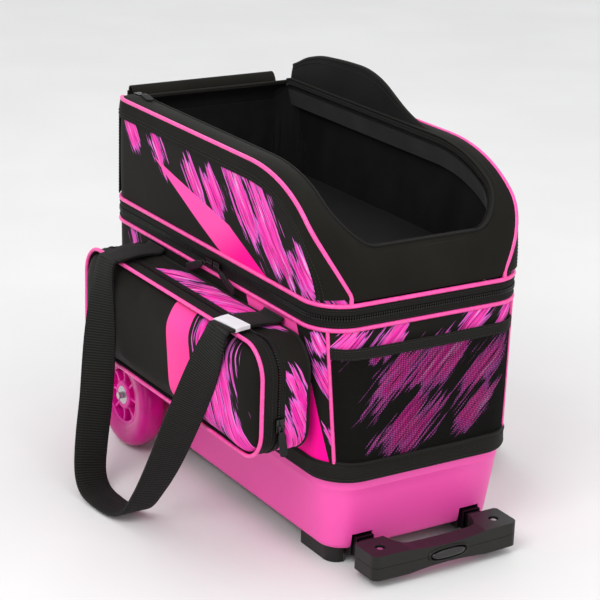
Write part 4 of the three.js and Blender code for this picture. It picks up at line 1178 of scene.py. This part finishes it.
def pocket_band(name, profile, material, puffed=0.0, **rest):
    """Band round the pocket with a section of (inset, y) points."""
    loops = [pocket_loop(inset, y) for inset, y in profile]
    rings = np.stack(loops, axis=1)
    if puffed:
        middle = rings.mean(axis=(0, 1))
        for i, ring in enumerate(rings):
            out = ring.mean(axis=0) - middle
            out[1] = 0
            out /= np.linalg.norm(out)
            rings[i] += out * puffed * fold(i * 6.0, 0, 0, 30, 3.0)
    piece = loft(name, rings, material, ROOT, closed=True, **rest)
    run = steps_along(rings.mean(axis=1))
    top_middle = run[int(0.625 * len(run))]
    layer = piece.data.uv_layers["uv"]
    for loop in piece.data.loops:
        ring, point = divmod(loop.vertex_index, len(profile))
        layer.data[loop.index].uv = ((top_middle - run[ring]) * MM, profile[point][1] * MM)
    return piece


def accessory_pocket():
    def set_back(start, section):
        return [(inset, start + back) for inset, back in section]

    def held(point):
        return min(1.0, max(0.0, (point[1] - POCKET_OUTER_Y - 3) / 5))

    crown = set_back(POCKET_OUTER_Y, [(34, -4), (20, -3), (9, -0.5), (3.5, 2), (1.5, 5), (1.5, 12), (6, 15)])
    puff("pocket_front_pad", [pocket_loop(inset, y, 24) for inset, y in crown], "pocket_front", ROOT,
         ["pocket_front_cover"], cap=5.0, pins=held)
    for name, inset, y, material in (("front", -0.6, POCKET_OUTER_Y + 4.0, "piping"),
                                     ("rear", 0.4, POCKET_INNER_Y - 2.0, "binding")):
        tube(f"pocket_piping_{name}", pocket_loop(inset, y, 44), 2.2, material, ROOT, 12, True)
    front_tape = [(2.5, 6), (0.2, 6), (-0.4, 9), (0.1, 12), (-0.4, 15), (0.2, 18), (-0.6, 20), (0.2, 23),
                  (2.5, 23)]
    rear_tape = [(2.5, 1.0), (0.2, 1.0), (-0.6, 3.5), (0.1, 6.5), (0.4, 8.5), (2.5, 8.5)]
    pocket_band("pocket_tape_front", set_back(POCKET_OUTER_Y, front_tape), "tape", replaces=["pocket_zipper"])
    pocket_band("pocket_tape_rear", set_back(POCKET_COIL_Y, rear_tape), "tape")
    side_wall = set_back(POCKET_COIL_Y, [(3.0, 8.0), (0.4, 8.0), (-0.8, 14), (-1.2, 22)])
    side_wall += set_back(POCKET_INNER_Y, [(-0.8, -5), (0.3, 0), (3.0, 0)])
    pocket_band("pocket_gusset_cloth", side_wall, "pocket_gusset", 1.2, replaces=["pocket_rear_gusset"])
    path = joined(pocket_loop(-0.6, POCKET_COIL_Y, 60))
    out = path - path.mean(axis=0)
    out = out - np.clip(out, (-150, 0, -28), (150, 0, 28))
    zipper_teeth("pocket_teeth", path, out, same((0, 1, 0), len(path)), ROOT)
    for name, back, inset in (("front", -7.5, -0.3), ("rear", 7.0, -0.2)):
        stitches(f"pocket_stitching_{name}", pocket_loop(inset, POCKET_COIL_Y + back, 60), out[:-1], ROOT,
                 closed=True)


# ---------------------------------------------------------------- net pocket

def net_surface(share, z):
    """Point on the slack net over the handle-end wall, and its outward direction."""
    place, normal = plan(FRONT, np.array([share]), body_size(z))
    height = (z - NET_BOTTOM) / (NET_TOP - NET_BOTTOM)
    slack = 2.2 + 6.6 * max(0.0, math.sin(math.pi * share)) ** 0.5 * (0.25 + 0.75 * math.sin(
        math.pi * min(1, 0.12 + height * 0.62)))
    slack += 0.8 * fold(share * 230, 0, z, 42, 9.0)
    slack *= min(1, 0.25 + 9 * min(share, 1 - share))
    return np.array([*(place[0] + normal[0] * slack), z]), np.array([*normal[0], 0.0])


def net_pocket():
    columns, rows = 112, 56
    shares = np.linspace(0.012, 0.988, columns + 1)
    heights = np.linspace(NET_BOTTOM, NET_TOP - 8, rows + 1)
    nodes = np.array([[net_surface(s, z)[0] for s in shares] for z in heights])
    verts = list(nodes.reshape(-1, 3))
    faces = []
    cord = 0.17
    for r in range(rows):
        for c in range(columns):
            cell = [(r, c), (r, c + 1), (r + 1, c + 1), (r + 1, c)]
            outer = [i * (columns + 1) + j for i, j in cell]
            middle = sum(nodes[i, j] for i, j in cell) / 4
            start = len(verts)
            verts += [nodes[i, j] + (middle - nodes[i, j]) * cord for i, j in cell]
            for k in range(4):
                after = (k + 1) % 4
                faces.append([outer[k], outer[after], start + after, start + k])
    piece = make("net_cloth", np.array(verts), faces, "net", ROOT, replaces=["mesh_pocket"])
    length = np.mean([steps_along(column)[-1] for column in nodes.transpose(1, 0, 2)])
    solid = piece.modifiers.new("thickness", "SOLIDIFY")
    solid.thickness = 0.35 * MM
    solid.offset = 0
    shares = np.linspace(0.008, 0.992, 81)
    for name, low, high in (("top", NET_TOP - 11, NET_TOP + 1), ("bottom", NET_BOTTOM - 1, NET_BOTTOM + 3)):
        outer, inner = [], []
        for z in np.linspace(low, high, 7):
            bow = 0.8 * math.sin(math.pi * (z - low) / (high - low))
            line = [net_surface(s, min(z, NET_TOP)) for s in shares]
            outer.append([p * (1, 1, 0) + (0, 0, z) + n * (0.7 + bow) for p, n in line])
            inner.append([p * (1, 1, 0) + (0, 0, z) - n * 0.9 for p, n in line])
        slab(f"net_binding_{name}", np.array(outer), np.array(inner), "binding", ROOT,
             steps_along(np.array(outer[0])), np.linspace(low, high, 7))
        if name == "top":
            for row in (1, 5):
                out = np.array([n for _, n in line])
                stitches(f"net_stitching_{row}", np.array(outer[row]), out, ROOT)


# ---------------------------------------------------------------- lid, open and hanging behind the bag

LID_HINGE = (-257.5, 417.0)
LID_CREASE = (-259.2, 75.3)
LID_FOLD = math.radians(151.2)
LID_FRONT_RUNS = (run_at(85.5), run_at(OPENING_FRONT_X) - 2.5)


def lid_closed_to_open(points):
    """(x, z) of the closed lid, swung three quarters of a turn about its hinge."""
    x, z = (np.asarray(points, float) - LID_HINGE).T
    return np.column_stack([z, -x]) + LID_HINGE


def lid_lines():
    """Middle lines of the two panels as (x, z) rows, from the hinge and from the crease."""
    rear = lid_closed_to_open([(x, 417.4) for x in np.linspace(-253, 83, 40)])
    runs = np.linspace(*LID_FRONT_RUNS, 34)
    closed = []
    for run in runs:
        (x, z), (out_x, out_z) = profile_at(run)
        closed.append((x + 2.4 * out_x, z + 2.4 * out_z))
    front = lid_closed_to_open(closed) - LID_CREASE
    cos, sin = math.cos(-LID_FOLD), math.sin(-LID_FOLD)
    front = np.column_stack([front[:, 0] * cos - front[:, 1] * sin, front[:, 0] * sin + front[:, 1] * cos])
    return rear, front + LID_CREASE


def lid_panel(name, line, rounded):
    """Quilted cloth panel with a lining on its other face, bound at its edges, with half a zipper."""
    run = steps_along(line)
    along = directions(line)
    normal = np.column_stack([-along[:, 1], along[:, 0]])
    low_y, high_y = -96.5, 105.5
    fine, insets = np.linspace(0, run[-1], 44), np.zeros(44)
    if rounded:
        first, last = LID_FRONT_RUNS
        bend = profile_at(last)[0][0] - BEND_X
        closed_x = np.concatenate([np.linspace(profile_at(first)[0][0], BEND_X, 22),
                                   BEND_X + bend * np.sin(np.linspace(0, math.pi / 2, 14)[1:])])
        fine = np.interp([run_at(x) for x in closed_x], np.linspace(first, last, len(line)), run)
        insets = bend - np.sqrt(np.maximum(0, bend ** 2 - np.maximum(0, closed_x - BEND_X) ** 2))
    place, out = (np.insert(rows, 1, 0.0, axis=1)
                  for rows in (sample(line, run, fine), unit(sample(normal, run, fine))))
    share = np.linspace(0, 1, 37)
    y = (low_y + insets)[:, None] + (high_y - low_y - 2 * insets)[:, None] * share
    flat = place[:, None] + y[..., None] * (0, 1, 0)
    for key, sign, crown, waves in (("cloth", 1, 1.1, 0.5), ("lining", -1, 0.3, 0.2)):
        swell = 0.9 + crown * np.sin(np.pi * share) ** 0.4
        swell = swell + waves * fold(y, fine[:, None], sign * 30, 34, 2.0)
        shown = flat + sign * out[:, None] * swell[..., None]
        hidden = flat + sign * out[:, None] * 0.1
        rest = {"replaces": [f"{name}_panel"]} if key == "cloth" else {}
        piece = slab(f"{name}_{key}", shown, hidden, key, name, np.linspace(low_y, high_y, 37), fine, **rest)
    left, right = flat[:, 0], flat[:, -1]
    edges = [("near", left, out), ("far", right, out)]
    if rounded:
        end = np.linspace(left[-1], right[-1], 14)[1:-1]
        edges = [("rim", np.concatenate([left, end, right[::-1]]),
                  np.concatenate([out, same(out[-1], len(end)), out[::-1]]))]
    middle = np.array((line[:, 0].mean(), 4.5, line[:, 1].mean()))
    for side, edge, outs in edges:
        inward = middle - edge
        inward = unit(inward - outs * (inward * outs).sum(axis=1)[:, None])
        tube(f"{name}_binding_{side}", edge + inward * 1.7, BINDING_RADIUS, "binding", name)
        stitches(f"{name}_stitching_{side}", edge + inward * 5 + outs * 2.2, outs, name)
        zipper_teeth(f"{name}_teeth_{side}", edge - inward * 0.1 + outs * 0.2, outs, inward, name)


def strip(name, path, thickness, replaces=()):
    """Strip of cloth that follows an (x, z) path and runs across the bag."""
    path = smooth_route(path)
    along = directions(path)
    place = np.insert(path, 1, 0.0, axis=1)[:, None]
    normal = np.column_stack([-along[:, 1], 0 * along[:, 0], along[:, 0]])[:, None]
    ys = np.linspace(-94, 103, 30)
    middle = place + ys[:, None] * (0, 1, 0)
    half = normal * thickness / 2
    return slab(name, middle + half, middle - half, "cloth", None, ys, steps_along(path), "stretched",
                replaces=replaces)


def lid():
    rear, front = lid_lines()
    lid_panel("lid_rear", rear, False)
    lid_panel("lid_front", front, True)
    crease = [(-257.3, 92), (-257.4, 80), (-259.6, 74.4), (-263.0, 76.5), (front[3][0] + 0.6, front[3][1])]
    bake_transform(strip("lid_crease", crease, 1.4))
    hinge = [(-242.8, 388), (-244.2, 400), (-247.6, 411), (-253.0, 417.2), (-258.2, 416.6), (-259.6, 410),
             (-259.4, 398)]
    piece = strip("lid_hinge_cloth", hinge, 1.6, ["lid_hinge_strip"])
    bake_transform(piece)


def clamshell_hinge():
    zs = np.linspace(272.5, 291.5, 9)
    xs = np.linspace(-189, 189, 60)
    outer = np.array([[(x, 133.2, z) for x in xs] for z in zs])
    inner = outer - (0, 1.6, 0)
    piece = slab("clamshell_hinge_cloth", outer, inner, "binding", None, xs, zs,
                 replaces=["clamshell_hinge_strip"], held="stretched")
    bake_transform(piece)


# ---------------------------------------------------------------- sliders and pulls

def bar(name, start, end, out, width, thick, material, body, **rest):
    """Ribbed pull from its eye to its tip: a flat bar that swells, with cross ribs and a rounded tip."""
    length = np.linalg.norm(end - start)
    along = unit(end - start)
    across = np.cross(along, out)
    sideways, upward = squarish(16, 0.55)
    rings = []
    for share in np.linspace(0, 1, 57):
        ends = max(0.25, math.sin(math.pi / 2 * min(1.0, share / 0.05, (1 - share) / 0.09)))
        swell = 0.62 + 0.38 * min(1, share / 0.16)
        ribs = 1 + (0.16 * math.sin(share * length / 3.0 * 2 * math.pi) if 0.2 < share < 0.9 else 0)
        half, depth = width / 2 * swell * ends, thick / 2 * ribs * ends
        rings.append(start + along * length * share + np.outer(sideways * half, across)
                     + np.outer(upward * depth, out))
    return loft(name, rings, material, body, **rest)


def slider(node, body, out, along, shift=0.0, reach=4.6, rise=0.6):
    """Bevelled CAD slider with a raised bridge; shift moves it along, clear of the pull's link."""
    dress(node, "black_metal", 0.9)
    low, high = bag_box(node)
    out, along = np.array(out, float), np.array(along, float)
    top = (low + high) / 2 + out * ((high - low) / 2 @ np.abs(out)) + along * shift
    path = [top + along * reach * share + out * lift
            for share, lift in ((-1, -0.8), (-0.83, rise - 0.4), (0, rise), (0.83, rise - 0.4), (1, -0.8))]
    tube(f"{node}_bridge", smooth_route(path), 0.8, "black_metal", body)


def sliders():
    joints = {joint["name"]: joint for joint in frame["joints"]}
    rows = (
        ("main_pull_left", "pull_left", (-0.9243, 0, -0.3818), (0, -1, 0), 45),
        ("main_pull_right", "pull_right", (0.9243, 0, -0.3818), (0, -1, 0), 40),
        ("pocket_pull", "pocket_pull_body", (0, 0.1483, -0.989), (1, 0, 0), 34),
        ("lid_pull", "lid_pull_body", (0.9806, -0.1961, 0), (0, 0, 1), 34),
    )
    for node, body, way, out, length in rows:
        eye = np.array(joints[f"{node}_swing"]["pos_m"]) / MM - (MIDDLE_X, 0, 0)
        way, turn = np.array(way, float), np.cross(way, out)
        bar(f"{node}_grip", eye + way * 5, eye + way * length, out, 9.0, 2.6, "rubber", body, replaces=[node])
        link = [eye + way * ahead + turn * side
                for ahead, side in ((8, 2.2), (1, 2.4), (-0.8, 0), (1, -2.4), (8, -2.2))]
        tube(f"{node}_link", smooth_route(link), 0.6, "black_metal", body)
    slider("main_slider_left", "slider_left", (0, -1, 0), (1, 0, 0))
    slider("main_slider_right", "slider_right", (0, -1, 0), (1, 0, 0))
    slider("pocket_slider", "pocket_slider_body", (1, 0, 0), (0, 0, 1), 3.5, 2.8)
    slider("lid_slider", "lid_slider_body", (0, 0, 1), (1, 0, 0), rise=-0.3)


def dress(node, material, bevel=0.0):
    """Material and rounded edges for a CAD node that is shown as it is."""
    piece = frame["nodes"][node]
    piece.data.materials.clear()
    piece.data.materials.append(M[material])
    if bevel:
        rounding = piece.modifiers.new("bevel", "BEVEL")
        rounding.width = bevel * MM
        rounding.segments = 3
        rounding.limit_method = "ANGLE"
        rounding.angle_limit = math.radians(35)
        rounding.harden_normals = False
    piece.data.shade_smooth()
    piece.data.set_sharp_from_angle(angle=math.radians(35))
    return piece


# ---------------------------------------------------------------- straps

NEAR_LOOP = [
    (153, -204.5, 255, 0),
    (150, -208, 238, 10), (130, -213, 190, 35), (102, -217, 135, 55), (74, -222, 80, 72),
    (52, -228, 40, 85), (34, -234, 14, 90), (12, -240, 5, 90), (-20, -244, 4.5, 90), (-46, -245, 9, 90),
    (-62, -243, 26, 88), (-72, -236, 60, 76), (-80, -226, 110, 62), (-90, -217, 170, 42), (-99, -208, 238, 8),
    (-101, -204.5, 255, 0),
]
FAR_LOOP = [
    (146, 138, 254, 0), (146, 150, 235, 0), (141, 168, 195, -20), (124, 186, 140, -45), (98, 204, 85, -65),
    (74, 220, 45, -82), (52, 232, 16, -90), (24, 241, 5, -90), (-8, 245, 4.5, -90), (-36, 241, 7, -90),
    (-62, 230, 24, -88), (-80, 215, 60, -74), (-96, 198, 110, -56), (-110, 180, 160, -34),
    (-117, 160, 215, -8), (-118, 138, 254, 0),
]


def webbing(name, route, width=STRAP_WIDTH, thick=STRAP_THICK, material="webbing", **rest):
    """Flat strap along (x, y, z, turn) rows; turn is how far its width is turned from X, in degrees."""
    fine = smooth_route(route, 7)
    path, turns = fine[:, :3], np.radians(fine[:, 3])
    side = [(-1, 0.75), (-0.97, 1.0), (-0.5, 1.06), (0, 1.1), (0.5, 1.06), (0.97, 1.0), (1, 0.75)]
    section = [(-1, -0.75), *side, *((a, -b) for a, b in side[:0:-1])]
    rings = []
    for place, forward, turn in zip(path, directions(path), turns):
        across = np.array([math.cos(turn), math.sin(turn), 0.0])
        across = unit(across - forward * across.dot(forward))
        out = np.cross(forward, across)
        rings.append([place + across * a * width / 2 + out * b * thick / 2 for a, b in section])
    return loft(name, rings, material, None, **rest)


def straps():
    rear_top = [(-114, -141, 259.5, 0), (-114, -150, 261, 0), (-108, -170, 263, 0), (-102, -196, 261.8, 0)]
    front_top = [(147, -141, 259.5, 0), (147, -150, 261, 0), (150, -170, 263, 0), (153, -196, 261.8, 0)]
    whole = [*front_top, (153.2, -202.8, 259, 0), *NEAR_LOOP[1:-1], (-101.2, -202.8, 259, 0), *rear_top[::-1]]
    near = webbing("strap_near_webbing", whole,
                   replaces=["strap_near_loop", "strap_near_rear_top", "strap_near_front_top"])
    label_route = [(150.6, -176, 263.1, 0), (151.6, -185, 262.8, 0), (152.6, -194, 262.0, 0)]
    label = webbing("strap_label", label_route, STRAP_WIDTH + 1.4, 5.0, "label")
    for piece in (near, label):
        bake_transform(piece)
    far = webbing("strap_far_webbing", FAR_LOOP, replaces=["strap_far_loop"])
    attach(far, "strap_far")
    for name, x in (("rear", -114), ("front", 147)):
        patch = webbing(f"strap_near_anchor_{name}", [(x, -131.2, 264.5, 0), (x, -134.0, 261.6, 0),
                                                      (x, -138.5, 259.8, 0), (x, -143.5, 259.9, 0)])
        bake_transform(patch)
    for name, x in (("rear", -118), ("front", 146)):
        patch = webbing(f"strap_far_anchor_{name}", [(x, 131.2, 264.0, 0), (x, 133.6, 261.2, 0),
                                                     (x, 136.4, 257.6, 0), (x, 139.2, 251.5, 0)])
        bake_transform(patch)


# ---------------------------------------------------------------- pull handle

def handle():
    for node in ("grip_lower", "grip_upper"):
        dress(node, "plastic", 1.6)
    for side in ("near", "far"):
        dress(f"handle_sleeve_{side}", "plastic", 0.8)
        dress(f"handle_middle_tube_{side}", "tube", 0.6)
        dress(f"handle_inner_tube_{side}", "tube", 0.6)
        dress(f"foot_{side}", "plastic", 1.2)
    dress("button_spring", "steel")
    low, high = bag_box("release_button")
    z = (low[2] + high[2]) / 2
    half_y, half_z = (high[1] - low[1]) / 2, (high[2] - low[2]) / 2
    rings = []
    for x, share in ((low[0], 1.0), (high[0] - 3.0, 1.0), (high[0] - 1.2, 0.93), (high[0] - 0.3, 0.72),
                     (high[0], 0.35)):
        rings.append(oval(x, half_y * share, half_z * share, z))
    loft("release_button_lens", rings, "gloss", "button", replaces=["release_button"])
    front = 299.0
    profile = [(front - 1, 1.2), (front + 0.6, 1.4), (front + 1.4, 2.4), (front + 1.0, 3.8), (front - 1, 4.6)]
    bezel = np.stack([oval(x, half_y + grow, half_z + grow * 0.8, z) for x, grow in profile], axis=1)
    loft("release_button_bezel", bezel, "plastic", "handle_inner", closed=True)
    well = node_box("grip_upper")[1][2] - 3
    for side, y in (("near", -74), ("far", 74)):
        head = [round_xy(278, y, r, well + up) for r, up in ((3.9, -0.5), (3.9, 0.6), (3.3, 1.4), (1.6, 1.6))]
        many(f"grip_screw_{side}", [head], "steel", "handle_inner")


def oval(x, half_y, half_z, z, sides=40):
    across, up = squarish(sides, 0.8)
    return np.column_stack([np.full(sides, x), across * half_y, z + up * half_z])


def round_xy(x, y, radius, z, sides=28):
    cosines, sines = around(sides)
    return np.column_stack([x + radius * cosines, y + radius * sines, np.full(sides, z)])


# ---------------------------------------------------------------- wheels

def lathe(name, profile, centre, material, body, sides=72, **rest):
    """Closed (radius, offset along Y) section, turned about a wheel's axle."""
    x, y, z = centre
    rings = [round_xz(x, z, radius, y + offset, sides) for radius, offset in profile]
    return loft(name, rings, material, body, closed=True, **rest)


def wheels():
    tread = [(36.0, -11.0), (38.0, -12.4), (42.0, -13.6), (48.0, -14.6), (54.0, -14.9), (58.5, -13.4),
             (61.6, -10.2), (63.1, -5.6), (WHEEL_RADIUS, 0.0)]
    tread += [(radius, -offset) for radius, offset in tread[-2::-1]]
    rim = [(36.0, -10.8), (33.6, -11.0), (32.4, -10.2), (32.0, -7.0), (31.6, 7.0), (32.4, 10.2), (33.6, 11.0),
           (36.0, 10.8)]
    boss = [(11.0, -11.0), (16.0, -11.0), (17.5, -9.4), (18.0, 0.0), (17.5, 9.4), (16.0, 11.0), (11.0, 11.0)]
    web = [(16.5, -2.0), (32.6, -2.6), (32.6, 2.6), (16.5, 2.0)]
    spoke = [(-1, -0.85), (-0.6, -1), (0.6, -1), (1, -0.85), (1, 0.85), (0.6, 1), (-0.6, 1), (-1, 0.85)]
    for side, sign in (("near", -1), ("far", 1)):
        centre = np.array((WHEEL_X, WHEEL_Y * sign, WHEEL_RADIUS))
        body = f"wheel_{side}"
        lathe(f"tyre_{side}", tread, centre, "urethane", body, 96, replaces=[f"wheel_tyre_{side}"])
        lathe(f"hub_rim_{side}", rim, centre, "hub", body, replaces=[f"wheel_hub_{side}"])
        lathe(f"hub_boss_{side}", boss, centre, "hub", body)
        lathe(f"hub_web_{side}", web, centre, "hub", body)
        spokes = []
        for angle in np.arange(8) * math.pi / 4:
            along = np.array([math.cos(angle), 0, math.sin(angle)])
            turn = np.array([-math.sin(angle), 0, math.cos(angle)])
            spokes.append([[centre + along * radius + turn * half * a + (0, deep * b, 0) for a, b in spoke]
                           for radius, half, deep in ((16.8, 2.6, 9.0), (20, 2.1, 8.4), (28, 1.9, 8.4),
                                                      (32.4, 2.5, 9.2))])
        many(f"hub_spokes_{side}", spokes, "hub", body)
        dress(f"wheel_bearing_{side}", "steel", 0.5)
        dress(f"wheel_axle_{side}", "steel", 0.6)


# ---------------------------------------------------------------- inside of the ball compartment

def inside_parts():
    for name in ("front", "rear"):
        dress(f"ball_cup_{name}", "foam", 1.5)
    low, high = bag_box("ball_divider")
    middle, size = (low + high) / 2, high - low
    rings = []
    for share, grow in ((0.0, 5.0), (0.25, 1.5), (0.5, 1.0), (0.75, 1.5), (1.0, 5.0)):
        flat = outline((size[1] - 2 * grow - 2, size[2] - 2 * grow - 2, 14), 16)[0]
        x = middle[0] - 2.6 + 5.2 * share
        rings.append(np.column_stack([np.full(len(flat), x), flat[:, 0], flat[:, 1] + middle[2]]))
    puff("ball_divider_pad", rings, "foam", ROOT, ["ball_divider"], (1, 2), 2.0, 1.2, 4.0)


# ---------------------------------------------------------------- floor and light

def studio():
    bpy.ops.mesh.primitive_plane_add(size=120, location=(0, 0, -0.0006))
    floor = bpy.context.object
    floor.name = "floor"
    floor.data.materials.append(floor_material())
    world = bpy.data.worlds.new("studio")
    bpy.context.scene.world = world
    world.use_nodes = True
    background = world.node_tree.nodes["Background"]
    background.inputs["Color"].default_value = (0.97, 0.98, 1.0, 1.0)
    background.inputs["Strength"].default_value = 0.95
    lamps = (("key", (0.9, -1.6, 2.1), 1.2, 28), ("front", (2.4, 0.3, 1.4), 1.6, 11),
             ("top", (-0.3, 0.5, 2.4), 1.8, 9))
    for name, place, size, power in lamps:
        data = bpy.data.lights.new(name, "AREA")
        data.energy = power
        data.size = size
        lamp = new_object(name, data)
        lamp.rotation_quaternion = facing(lamp, place, (0, 0, 0.2))
    bpy.context.scene.view_settings.view_transform = "Standard"


# ---------------------------------------------------------------- the whole bag

tray()
axle_mounts()
ball_compartment()
main_zipper()
top_panels()
gusset()
far_flap()
rear_panel()
compartment_lining()
accessory_pocket()
net_pocket()
lid()
clamshell_hinge()
sliders()
straps()
handle()
wheels()
inside_parts()
studio()
